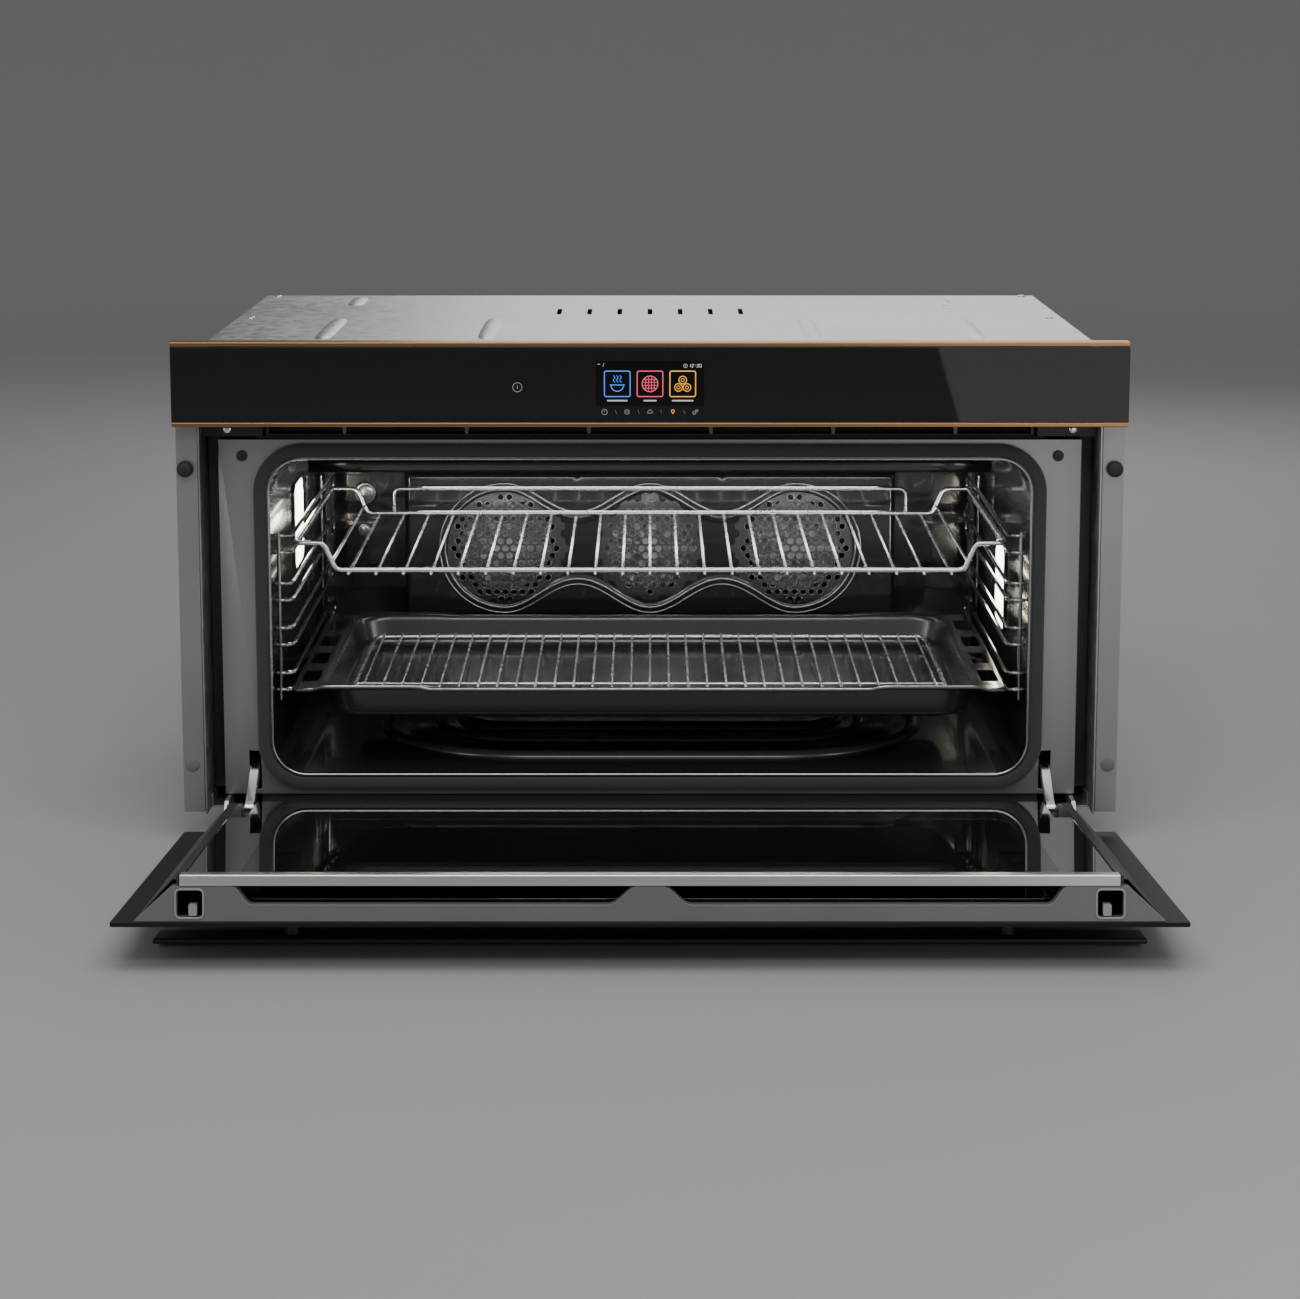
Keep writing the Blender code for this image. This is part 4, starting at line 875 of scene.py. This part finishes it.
# %% Bumpers, plugs and brackets
BUMPER = [(0, 8.2), (3.5, 8.1), (6.2, 7.0), (7.6, 4.6), (7.7, 1.2), (6.6, 0.2), (0, 0.2)]
PLUG = [(0, 1.6), (4.2, 1.5), (6.2, 0.9), (6.8, 0.1), (6.8, -0.2), (0, -0.2)]
SMALL_PLUG = [(0, 1.2), (3.6, 1.2), (5.1, 0.8), (5.5, 0.1), (5.5, -0.2), (0, -0.2)]
FLANGE_X, FLANGE_FACE = 439.5, 20.4
for name, side in SIDES:
    bumper = turned(BUMPER, (side * FLANGE_X, FLANGE_FACE, 354.5))
    make(f"bumper_{name}_turned", bumper, RUBBER, "chassis", (f"bumper_{name}",))
    make(f"flange_plug_{name}", turned(PLUG, (side * FLANGE_X, FLANGE_FACE, 66.6)), GREY)
    make(f"plate_plug_{name}", turned(SMALL_PLUG, (side * 389.5, 45.9, 363.0)), DARK)
    make(f"bracket_screw_{name}", turned(SCREW, (side * 403.0, 44.6, 388.8)), BRIGHT)
    xs = sorted((side * 369.0, side * 426.0))
    window = shifted_outline(xs, 382.0, 396.2, 2.0, arc=4, across=6, upright=3)
    make(f"lock_bracket_{name}", slab(window, "depth", 44.7, 45.8), DARK)
SPACER_PITCH = 116.4
spacers = []
for x_now in spread(6, SPACER_PITCH):
    shape = [(-6.5, 396.6), (6.5, 396.6), (2.0, 390.0), (1.3, 384.2), (-1.3, 384.2), (-2.0, 390.0)]
    shape = curved([(a + x_now, b, 0) for a, b in shape], 1.0, 4, True)[:, :2]
    spacers.append(slab(shape, "depth", 45.2, 46.3))
make("strip_spacers", spacers, GREY)

# %% [markdown]
# ## Door gasket
# The seal is a braided glass-fibre cord, flattened between the door and the plate. Its section is a soft
# rectangle, and two sets of fine waves that cross each other stand for the braid.

# %% Gasket
path = mouth_loop(8.6, arc=60, across=310, upright=130)
turn = full_turn(20)
length = np.arange(len(path))[:, None] / len(path) * 2 * math.pi
braid = 1 + 0.02 * np.sin(170 * length + 3 * turn) * np.sin(170 * length - 3 * turn)
wide = np.sign(np.cos(turn)) * np.abs(np.cos(turn)) ** 0.7 * 6.3 * braid
deep = np.sign(np.sin(turn)) * np.abs(np.sin(turn)) ** 0.8 * 3.3 * braid
flat = path[:, None] + outward(path)[:, None] * wide[..., None]
fibre = Finish("braided_fibre", (0.05, 0.05, 0.05), 0.85, 0.0, {"Sheen Weight": 0.3})
threads = fibre.noise(1400, 4)
fibre.feed("Base Color", fibre.ramp(threads, (0.35, (0.022, 0.022, 0.022)), (0.7, (0.055, 0.055, 0.055))))
fibre.bumped(threads, 0.0003)
gasket = sheet(at(flat[..., 0], 42.3 + deep, flat[..., 1]), True, True)
make("door_gasket_braid", gasket, fibre.material, "chassis", ("door_gasket",))
# The mouth rim is a bright steel wire round the enamel lip: a painted highlight.
rim_loop = mouth_loop(0.7, arc=16, across=60, upright=24)
rim_route = xyz(rim_loop[:, 0], 41.6, rim_loop[:, 1])
RIM = brushed("burnished_rim", (0.5, 0.5, 0.5), 0.22)
make("mouth_rim", wire(rim_route, 1.5, (0, 1, 0), 12, True), RIM, "chassis", ())
print("gasket grid:", flat.shape[:2])

# %% [markdown]
# ## Cavity
# The liner is a deep-drawn box. One grid covers all of it: rings of the mouth's outline go back along the
# walls, turn a soft corner, and shrink over the rear wall to its middle. Height fields then press in what
# the tool stamps: a long island in the floor, four panels in the rear wall and a frame line round the
# baffle's place.

# %% Liner
REAR, CORNER, FLOOR_MIDDLE = 474.6, 18.0, 262.0
counts = {"arc": 9, "across": 104, "upright": 40}
quarter = np.radians(np.linspace(0, 90, 7))
lip = [(3.2, 41.0), (1.6, 40.6), (0.4, 41.2), (0.0, 42.6)]
walls = [(0.0, d) for d in np.linspace(46, REAR - CORNER, 84)]
corner = [(-CORNER * (1 - math.cos(a)), REAR - CORNER + CORNER * math.sin(a)) for a in quarter[1:]]
rings = [(mouth_loop(max(grow, -CORNER), **counts), depth) for grow, depth in lip + walls + corner]
last = rings[-1][0]
middle = np.array([0.0, (MOUTH_LOW + MOUTH_HIGH) / 2])
shrink = 1 - np.linspace(0, 1, 26)[1:] ** 1.3
rings += [(middle + (last - middle) * k, REAR) for k in shrink]
flat = np.stack([loop for loop, _ in rings])
depth = np.broadcast_to(np.array([d for _, d in rings])[:, None], flat.shape[:2]).copy()
x, up = flat[..., 0].copy(), flat[..., 1].copy()


def stadium(x, y, half_long, half_short):
    """How far a point is outside a stadium: its distance from the middle line, less the half width."""
    beyond = np.clip(np.abs(x) - (half_long - half_short), 0, None)
    return np.hypot(beyond, y) - half_short


def ridge(distance, width):
    """A smooth bank, 1 on the line and 0 beyond width / 2: cos^2."""
    s = np.clip(np.abs(distance) / (width / 2), 0, 1)
    return np.cos(s * math.pi / 2) ** 2


def plateau(distance, soft):
    """1 well inside a shape and 0 outside, with a soft edge."""
    s = np.clip(-distance / soft, 0, 1)
    return s * s * (3 - 2 * s)


def panel(x, y, xs, ys, radius):
    """How far a point is outside a rectangle with round corners."""
    a = np.abs(x - sum(xs) / 2) - (xs[1] - xs[0]) / 2 + radius
    b = np.abs(y - sum(ys) / 2) - (ys[1] - ys[0]) / 2 + radius
    return np.hypot(np.clip(a, 0, None), np.clip(b, 0, None)) + np.minimum(np.maximum(a, b), 0) - radius


PRESSED = [((-347, -297), (236, 290), 9), ((-347, -297), (170, 231), 12)]
PRESSED += [((299, 351), (171, 231), 12), ((299, 351), (236, 290), 9)]
floor = np.clip((MOUTH_LOW + 3 - up) / 3, 0, 1) * (depth < REAR - CORNER)
up += floor * 3.0 * plateau(stadium(x, depth - FLOOR_MIDDLE, 195, 39), 10)
rear = depth > REAR - 0.01
press = sum(3.5 * plateau(panel(x, up, *place), 5) for place in PRESSED)
press += 2.5 * ridge(panel(x, up, (-285, 285), (108, 304), 18), 12)
depth -= rear * press
liner = sheet(at(x, depth, up), False, True)
make("cavity_pressing", liner, ENAMEL, "chassis", ("cavity_liner",), 1.2, 50)
print("liner grid:", x.shape)

# %% [markdown]
# Stadium ridges stiffen the cavity floor. They are narrower than the liner's own grid can show, so each
# one is a flat half tube on the floor: an ellipse carried round a stadium. Their steep fronts mirror the
# bright mouth, and their enamel is painted paler than the floor's as a highlight.

# %% Floor ridges


def stadium_ridge(half_long, half_short, wide, high):
    """p = path + outwards (wide / 2) cos a + up high sin a, round two straight lines and two half circles."""
    straight = half_long - half_short
    turn = np.linspace(-math.pi / 2, math.pi / 2, 40)
    right = np.stack([straight + half_short * np.cos(turn), half_short * np.sin(turn)], -1)
    line = np.linspace(right[-1], -right[0], 30)[1:-1]
    path = np.concatenate([right, line, -right, -line])
    turn = full_turn(16)
    flat = path[:, None] + outward(path)[:, None] * (wide / 2 * np.cos(turn))[None, :, None]
    up_now = 51.6 + high * np.sin(turn) + 0 * flat[..., 0]
    return sheet(at(flat[..., 0], FLOOR_MIDDLE + flat[..., 1], up_now), True, True)


ridges = [stadium_ridge(275, 153, 17, 6), stadium_ridge(218, 87, 13, 4.5), stadium_ridge(196, 40, 10, 4)]
make("floor_ridges", ridges, RIDGE_HIGHLIGHT_ENAMEL, "chassis", ())

# %% [markdown]
# ## Baffle
# A pressed cover hides three fans. It has a round opening in front of each, and a double bank that
# follows all three in one wavy line. Each third of the cover is a fan of rays: a ray starts on the
# opening's rim and ends on the edge of its own rectangle. Inside the wavy line the sheet is a little
# lower, and two beads run along that line.

# %% Baffle face
FAN_PITCH, FAN_UP = 159.0, 199.0
BAFFLE_HALF, BAFFLE_LOW, BAFFLE_HIGH, BAFFLE_FRONT = 268.0, 125.0, 282.0, 445.4
WAVE_MEAN, WAVE_SWING = 56, 16
WAVE_END = WAVE_MEAN + WAVE_SWING
OPENINGS = {-1: 61.0, 0: 52.5, 1: 61.0}


def wavy(x, up):
    """Distance outside the wavy line: mean + swing cos(2 pi x / pitch) high, with a circle at each end."""
    x, up = np.abs(x), np.abs(up - FAN_UP)
    phase = 2 * math.pi * np.minimum(x, FAN_PITCH) / FAN_PITCH
    slope = WAVE_SWING * np.sin(phase) * 2 * math.pi / FAN_PITCH
    wave = (up - WAVE_MEAN - WAVE_SWING * np.cos(phase)) / np.sqrt(1 + slope**2)
    return np.where(x < FAN_PITCH, wave, np.hypot(x - FAN_PITCH, up) - WAVE_END)


def third(i):
    """Rays from the opening's rim to the edge of this third's rectangle, as a grid of (across, up) points."""
    left = BAFFLE_HALF - FAN_PITCH if i == -1 else FAN_PITCH / 2
    right = BAFFLE_HALF - FAN_PITCH if i == 1 else FAN_PITCH / 2
    low, high = FAN_UP - BAFFLE_LOW, BAFFLE_HIGH - FAN_UP
    corners = [math.atan2(b, a) for a, b in ((right, high), (-left, high), (-left, -low), (right, -low))]
    corners = corners[:2] + [angle + 2 * math.pi for angle in corners[2:] + corners[:1]]
    angle = np.concatenate([np.linspace(a, b, 56)[:-1] for a, b in zip(corners, corners[1:])])
    cos, sin = np.cos(angle), np.sin(angle)
    wide = np.where(cos > 0, right, left) / np.maximum(np.abs(cos), 1e-9)
    tall = np.where(sin > 0, high, low) / np.maximum(np.abs(sin), 1e-9)
    reach = np.minimum(wide, tall)
    t = np.linspace(0, 1, 34)[:, None]
    radius = OPENINGS[i] + (reach - OPENINGS[i]) * t
    return i * FAN_PITCH + radius * cos, FAN_UP + radius * sin, t + 0 * cos


surfaces = []
for i in OPENINGS:
    a, b, t = third(i)
    far = wavy(a, b)
    sunk = 1.2 * plateau(far + 7.5, 3)
    rim = 0.5 * np.clip(1 - t * 12, 0, 1) ** 2
    border = np.minimum.reduce([BAFFLE_HALF - np.abs(a), b - BAFFLE_LOW, BAFFLE_HIGH - b])
    drop = 4 * np.clip(1 - border / 5, 0, 1) ** 2
    surfaces.append(sheet(at(a, BAFFLE_FRONT + 2.6 + sunk + rim + drop, b), False, True))
edge = outline(BAFFLE_HALF, BAFFLE_LOW, BAFFLE_HIGH, 0.02, arc=2, across=80, upright=30)
back = np.array([BAFFLE_FRONT + 6.6, 460.0, 474.0])[:, None]
surfaces.append(sheet(at(edge[None, :, 0], back, edge[None, :, 1]), False, True))
make("baffle_pressing", surfaces, ENAMEL, "chassis", ("fan_baffle",), 1.0, 40)


def wavy_loop(offset):
    """The wavy line moved outwards: p + n offset, n = (-w', 1) / sqrt(1 + w'^2), for a half height w."""
    x = np.linspace(-FAN_PITCH, FAN_PITCH, 97)
    phase = 2 * math.pi * x / FAN_PITCH
    slope = -WAVE_SWING * np.sin(phase) * 2 * math.pi / FAN_PITCH
    size = np.hypot(1, slope)
    top = np.stack([x - offset * slope / size, WAVE_MEAN + WAVE_SWING * np.cos(phase) + offset / size], -1)
    turn = np.linspace(math.pi / 2, -math.pi / 2, 40)[1:-1]
    end = np.stack([FAN_PITCH + (WAVE_END + offset) * np.cos(turn), (WAVE_END + offset) * np.sin(turn)], -1)
    loop = np.concatenate([top, end, top[::-1] * (1, -1), -end])
    return xyz(loop[:, 0], BAFFLE_FRONT + 2.5, FAN_UP + loop[:, 1])


# The two beads take a bright steel finish: a painted highlight on the enamelled bank.
bank = joined([wire(wavy_loop(offset), 1.5, (0, 1, 0), 12, True) for offset in (0, -5.8)])
make("baffle_bank", bank, STEEL_AND_PAINTED_HIGHLIGHT, "chassis", ())

# %% [markdown]
# Each opening is filled by a perforated disc. Round holes sit in a honeycomb. One cell is a few rings:
# its outer hexagon, then a collar that the punch raised round the hole, then the hole's wall. The cell is
# copied to each place of the lattice within the disc, and blank hexagons fill the margin. The collars take
# a bright metal finish that is a painted highlight.

# %% Perforated discs
HOLE_PITCH, HOLE_RADIUS, COLLAR_RADIUS, CELL_SIDES = 9.4, 3.1, 4.2, 12
MARGIN = 3.6


def honeycomb():
    """Centres of a hexagonal lattice: i (1, 0) + j (1/2, sqrt(3)/2), times the pitch."""
    span = np.arange(-14, 15)
    i, j = (grid.ravel() for grid in np.meshgrid(span, span))
    return np.stack([(i + j / 2) * HOLE_PITCH, j * HOLE_PITCH * math.sqrt(3) / 2], -1)


turn = full_turn(CELL_SIDES)
hexagon = HOLE_PITCH / 2 / np.cos((turn + math.pi / 6) % (math.pi / 3) - math.pi / 6)
around = np.stack([np.cos(turn), np.sin(turn)], -1)
collar = np.array([(COLLAR_RADIUS, 0.0), (3.85, -0.7), (3.4, -0.7), (HOLE_RADIUS, 0.2), (HOLE_RADIUS, 1.6)])
raised, raised_back = around * collar[:, :1, None], collar[:, 1]
holed = np.stack([around * hexagon[:, None], around * COLLAR_RADIUS])
blank = np.stack([around * hexagon[:, None], around * 0.0])
centres = honeycomb()
distance = np.hypot(*centres.T)
for name, i in FANS.items():
    cells, collars = [], []
    edge, beyond, level = OPENINGS[i] - MARGIN, OPENINGS[i] + 6, np.zeros(2)
    for near, far, cell, back, kept in (
        (0, edge, holed, level, cells),
        (edge, beyond, blank, level, cells),
        (0, edge, raised, raised_back, collars),
    ):
        spots = centres[(distance >= near) & (distance < far), None, None] + cell
        depths = BAFFLE_FRONT + 2.9 + back[None, :, None]
        plane = at(spots[..., 0] + i * FAN_PITCH, depths, spots[..., 1] + FAN_UP)
        kept += [sheet(grid, False, True) for grid in plane]
    make(f"fan_grille_{name}", cells, DISC, sharp=60, toward=(0, -1, 0))
    # The collars' bright finish is a painted highlight.
    make(f"grille_collars_{name}", collars, PAINTED_HIGHLIGHT_STEEL, sharp=60, toward=(0, -1, 0))
    paint([f"fan_{name}"], SHEET)
print("holes in the wide disc:", int((distance < OPENINGS[1] - MARGIN).sum()))

# %% [markdown]
# Small things on the rear wall: the cap of a socket with a smaller one under it, slots at the baffle's upper
# corners, which are dark slabs of painted shade with a bright wire of painted highlight along each lower lip,
# and the shield that hangs in front of the grill element.

# %% Rear caps, louvres and grill
CAP = [(0, 7.5), (7, 7.5), (9, 6.8), (9.4, 5.2), (11.5, 5.0), (13, 3.6), (13.2, 0), (0, 0)]
make("socket_cap", turned(CAP, (-313.5, 471.0, 257.0)), STEEL_AND_PAINTED_HIGHLIGHT)
make("small_cap", turned(np.array(CAP) * 0.6, (-315.0, 471.0, 215.6)), STEEL_AND_PAINTED_HIGHLIGHT)
louvres, slots = [], []
for side in (-1, 1):
    for far, near, up in ((262, 207, 271), (262, 236, 250)):
        xs = sorted((side * far, side * near))
        hole = shifted_outline(xs, up - 2.6, up + 2.6, 2.5)
        slots.append(slab(hole, "depth", BAFFLE_FRONT + 2.2, BAFFLE_FRONT + 3.6))
        ends = [(x, BAFFLE_FRONT + 1.6, up - 3.4) for x in xs]
        louvres.append(wire(ends, 1.3, (0, 0, 1), 8))
# The dark slot slabs are painted shade and the bright lip wires are painted highlights.
make("baffle_slots", slots, RUBBER)
make("baffle_louvres", louvres, STEEL_AND_PAINTED_HIGHLIGHT)
low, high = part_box("grill_element")
print("the grill element is", round((high.x - low.x) / MM), "mm wide")
corners = []
for count, depth_now in enumerate(np.linspace(90, 410, 6)):
    ends = (-300, 300) if count % 2 == 0 else (300, -300)
    corners += [(end, depth_now, 345.0) for end in ends]
element = wire(curved(corners, 24, 10), 3.2, (0, 0, 1), 14)
make("grill_rod", element, HEATER, "chassis", ("grill_element",))
turn = np.radians(np.linspace(0, 90, 6))
shield_d = np.concatenate([[96], 78 + 4 - 4 * np.sin(turn), [78]])
shield_up = np.concatenate([[354], 350 + 4 * np.cos(turn), [342]])
shield_x = np.linspace(-330, 330, 12)
shield = sheet(at(shield_x[:, None], shield_d[None], shield_up[None]))
make("grill_shield", shield, ENAMEL, wall=1.0)

# %% [markdown]
# ## Lamps
# Each side wall has a lamp behind a moulded glass. The glass is a shallow pillow with fine upright ribs,
# and it glows from inside. A thin enamelled rim holds it.

# %% Lamp glasses
for name, side in SIDES:
    low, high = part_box(f"lamp_lens_{name}")
    depths = (low.y / MM - FACE, high.y / MM - FACE)
    ups = (low.z / MM - FOOT, high.z / MM - FOOT)
    loop = shifted_outline(depths, *ups, 12, arc=8, across=20, upright=20)
    centre = loop.mean(0)
    k = np.linspace(1, 0, 16)[:, None, None]
    flat = centre + (loop - centre) * k
    rib = 0.35 * np.sin(flat[..., 0] * 1.6)
    pillow = 1.0 + 2.2 * np.sqrt(1 - k[..., 0] ** 4) + rib * (k[..., 0] < 0.95)
    glass = sheet(at(side * (363.6 - pillow), flat[..., 0], flat[..., 1]), False, True)
    glow = Finish(f"lamp_glow_{name}", (0.9, 0.88, 0.82), 0.25, 0.0, {"Emission Strength": 9.0})
    flat_noise = glow.noise(40, 2)
    glow.feed("Emission Color", glow.ramp(flat_noise, (0.3, (1.0, 0.86, 0.66)), (0.7, (1.0, 0.93, 0.8))))
    make(f"lamp_glass_{name}", glass, glow.material, "chassis", (f"lamp_lens_{name}",), 0.6)
    make(f"lamp_rim_{name}", wire(xyz(side * 362.0, *loop.T), 1.5, (1, 0, 0), 8, True), ENAMEL)

# %% [markdown]
# ## Wire racks and shelf
# All of these are bent from bright wire and spot welded. Each wire is its own tube, and tubes cross where
# the real ones are welded. A rack has four pairs of rails. A pair is one wire: it turns out to the
# upright at the front, and turns back on itself at the rear.

# %% Side racks
RAILS, RAIL_GAP = (131.3, 175.7, 219.7, 266.3), 16.5
RACK_FRONT, RACK_REAR, RAIL_X = 60.0, 434.0, 345.5
for name, side in SIDES:
    wires = []
    for level in RAILS:
        bends = [(361.5, RACK_FRONT), (347.0, RACK_FRONT), (RAIL_X, RACK_FRONT + 14), (RAIL_X, RACK_REAR)]
        lower = [(side * a, d, level) for a, d in bends]
        upper = [(a, d, up + RAIL_GAP) for a, d, up in lower[::-1]]
        wires.append(wire(curved(lower + upper, 6.5, 7), 2.0, (1, 0.02, 0.05), 10))
    for x_now, d in ((358, RACK_FRONT), (356, RACK_REAR - 22)):
        wires.append(wire([(side * x_now, d, 122), (side * x_now, d, 285)], 2.0, (1, 0, 0), 10))
    for level in RAILS[:3]:
        hook = [(RAIL_X, RACK_REAR - 60, 24), (347, RACK_REAR - 30, 24), (350, RACK_REAR - 30, 2)]
        hook = [(side * a, d, level + rise) for a, d, rise in hook]
        wires.append(wire(curved(hook, 10, 8), 1.6, (1, 0, 0), 10))
    make(f"rack_wires_{name}", wires, RACK_WIRE, "chassis", (f"side_rack_{name}",))

# %% [markdown]
# The shelf hangs between two side bars. Its frame dips by an S-bend at each corner, so the deck lies
# lower than the bars, and a fence stops food at the back. The deck wires pass under the frame and end in
# small nubs.

# %% Wire shelf
low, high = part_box("wire_shelf")
near, far = low.y / MM - FACE + 4.6, high.y / MM - FACE - 4.6
SIDE_X, SIDE_UP, DECK_UP, DECK_X = 345.0, 271.2, 244.5, 306.0
left_bend = [(-SIDE_X, SIDE_UP), (-DECK_X - 12, SIDE_UP), (-DECK_X, DECK_UP)]
whole = left_bend + [(-a, b) for a, b in left_bend[::-1]]
loop = [(a, near, b) for a, b in whole] + [(a, far, b) for a, b in whole[::-1]]
wires = [wire(curved(loop, 6, 6, True), 2.5, (0, 0, 1), 14, True)]
DECK_WIRES = 23
for x_now in spread(DECK_WIRES, 26.67):
    wires.append(wire([(x_now, near - 3.5, 241.2), (x_now, far + 3.5, 241.2)], 1.5, (0, 0, 1), 8))
for side in (-1, 1):
    wires.append(wire([(side * 309.0, near, 253.0), (side * 309.0, far, 253.0)], 1.5, (0, 0, 1), 8))
fence = [(-277, far, DECK_UP - 1), (-277, far, SIDE_UP), (277, far, SIDE_UP), (277, far, DECK_UP - 1)]
wires.append(wire(curved(fence, 8, 7), 2.0, (0, 1, 0), 12))
make("shelf_wires", wires, SHELF_WIRE, "wire_shelf", ("wire_shelf",))

# %% [markdown]
# ## Baking tray
# The tray is drawn from one sheet. Rings run from the middle of its floor out over a rounded foot, up the
# wall, over the rim and down its curled edge. Left and right, the rim is a broad flange with four
# windows. Front and back, the rim stands a little higher towards the corners. Along its front edge lies a
# bright metal wire, a painted highlight.

# %% Tray
low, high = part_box("baking_tray")
near, far = low.y / MM - FACE, high.y / MM - FACE
middle = (near + far) / 2
half_deep = (far - near) / 2
RIM_UP, FLOOR_UP, PAN, EDGE = 134.4, 102.9, 318.0, 9
foot = [(-16, -16, 24, 0), (-11, -11, 26, 0.8), (-8, -8, 28, 3.5), (-6.5, -6.5, 29, 8)]
rim = [(-1.5, -1.5, 31, -5), (-0.6, -0.6, 31.5, -2), (1.0, 0.4, 32, -0.4), (3, 1.4, 32, 0)]
rim += [(25.5, 5.6, 12, 0), (27.2, 7.4, 10, 0.1), (28.2, 8.4, 9, -0.6)]
rim += [(28.6, 8.8, 9, -1.6), (28.4, 8.6, 9, -2.6)]
profile = [(*grown, FLOOR_UP + rise) for *grown, rise in foot]
profile += [(*grown, RIM_UP + rise) for *grown, rise in rim]
counts = {"arc": 9, "across": 70, "upright": 44}
loops, ups = [], []
for grow, deep, radius, up in profile:
    loops.append(outline(PAN + grow, near + EDGE - deep, far - EDGE + deep, radius, **counts))
    ups.append(np.full(len(loops[0]), up))
centre = np.array([0.0, middle])
for k in np.linspace(1, 0, 14)[1:]:
    loops.insert(0, centre + (outline(PAN - 16, near + 25, far - 25, 24, **counts) - centre) * k)
    ups.insert(0, np.full(len(loops[0]), FLOOR_UP))


def corner_rise(x):
    """How much higher the rim's ends stand: 2.6 s^2 (3 - 2 s), where s goes from 0 to 1 in 16 mm."""
    s = np.clip((np.abs(x) - 212) / 16, 0, 1)
    return 2.6 * s**2 * (3 - 2 * s) * (np.abs(x) < 322)


flat, up = np.stack(loops), np.stack(ups)
outer_rim = np.clip((np.abs(flat[..., 1] - middle) - (half_deep - EDGE)) / 3, 0, 1)
up = up + outer_rim * corner_rise(flat[..., 0])
pressing = sheet(at(flat[..., 0], flat[..., 1], up), False, True)
tray = make("tray_pressing", pressing, TRAY_ENAMEL, "baking_tray", ("baking_tray",), 1.3, 50)
# The bright wire along the front edge is a painted highlight.
across = np.linspace(-334, 334, 120)
lip = xyz(across, near + 1.6, RIM_UP + corner_rise(across))
make("tray_lip", wire(lip, 1.0, (0, 0, 1), 8), PAINTED_HIGHLIGHT_STEEL, "baking_tray")
windows = [
    slab(shifted_outline(sorted((side * 324.0, side * 341.0)), d - 26, d + 26, 5), "height", 126, 146)
    for side in (-1, 1)
    for d in (near + 57, near + 137, near + 217, near + 297)
]
cut_by(tray, joined(windows))

# %% Grid in the tray
low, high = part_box("tray_grid")
near, far = low.y / MM - FACE + 2, high.y / MM - FACE - 2
corners = [(-296, near, 114), (296, near, 114), (296, far, 114), (-296, far, 114)]
wires = [wire(curved(corners, 18, 7, True), 2.0, (0, 0, 1), 12, True)]
wires.append(wire([(-294, near + 98, 112.8), (294, near + 98, 112.8)], 1.6, (0, 0, 1), 10))
GRID_WIRES = 31
for x_now in spread(GRID_WIRES, 19.1):
    wires.append(wire([(x_now, near - 1, 116.2), (x_now, far + 1, 116.2)], 1.2, (0, 0, 1), 8))
make("grid_wires", wires, SHELF_WIRE, "baking_tray", ("tray_grid",))
print("the grid and the shelf have", GRID_WIRES, "and", DECK_WIRES, "deck wires")

# %% [markdown]
# ## Door
# The door is a stack of three panes between slanted side columns. The frame parts are moulded or pressed
# with exact edges, so they are the working parts with a bevel each. The outer pane's print is matt on its
# inner side. A narrow bead runs round each lock window.

# %% Door parts


def on_door(name, surface, finish):
    """A piece drawn on the closed door, which swings open with it."""
    points, quads = surface
    make(name, (swung(points), quads), finish, "door")


outer = softened("door_outer_glass", PRINTED, 0.8, 3)
second_finish(outer, FRIT, lambda face: face.normal.z > 0.5)
softened("door_inner_glass", COATED, 0.5)
softened("door_middle_glass", COATED, 0.5)
for name, _ in SIDES:
    softened(f"door_column_{name}", COLUMN, 0.6, 3)
for node in ("door_top_cover", "door_bottom_rail"):
    softened(node, GREY, 0.8, 3)
for name, side in SIDES:
    loop = shifted_outline(sorted((side * 390.2, side * 392.6)), 36.0, 43.4, 0.8, arc=3)
    on_door(f"trim_cap_{name}", slab(loop, "height", 381.5, 393.0), DARK)
softened("inner_glass_trim", BAR, 0.6, 3)
softened("handle_bar", HANDLE, 0.7, 3)
for name, _ in SIDES:
    softened(f"handle_post_{name}", HANDLE, 0.5, 2)
    softened(f"hinge_arm_{name}", BRIGHT, 1.3, 4)
softened("lock_hook", BRIGHT, 0.6, 3)


# %% Lock windows
for name, side in SIDES:
    xs = sorted((side * 370.4, side * 393.6))
    loop = shifted_outline(xs, 7.4, 31.6, 4.0, arc=6, across=4, upright=4)
    route = [(a, t, 393.1) for a, t in loop]
    on_door(f"lock_window_rim_{name}", wire(route, 0.9, (0, 0, 1), 10, True), PALE)
    keeper = shifted_outline(sorted((side * 376.0, side * 383.0)), 9.0, 19.0, 1.2, arc=4)
    on_door(f"lock_keeper_{name}", slab(keeper, "height", 384.0, 391.5), PALE)

# %% [markdown]
# The studio floor is a shallow bowl of grey paper. It is flat under the oven and rises far outside, so
# that floor and backdrop have no line between them from any side.

# %% Studio floor
FLAT_RADIUS = 4.3
radius = np.concatenate([np.linspace(0, FLAT_RADIUS, 8), FLAT_RADIUS + np.linspace(0.2, 4.8, 30)])[:, None]
turn = full_turn(96)
rise = cad_bounds[0][2] - 0.001 + 0.33 * np.clip(radius - FLAT_RADIUS, 0, None) ** 2
ground = xyz(radius * np.cos(turn), radius * np.sin(turn), rise)
paper = Finish("paper", (0.4, 0.4, 0.405), 0.85)
paper.feed("Roughness", paper.noise(40) * 0.1 + 0.8)
mesh = mesh_of("floor", sheet(ground, False, True))
mesh.materials.append(paper.material)
mesh.shade_smooth()
floor_piece = placed("floor", mesh)

# %% Import json
import json
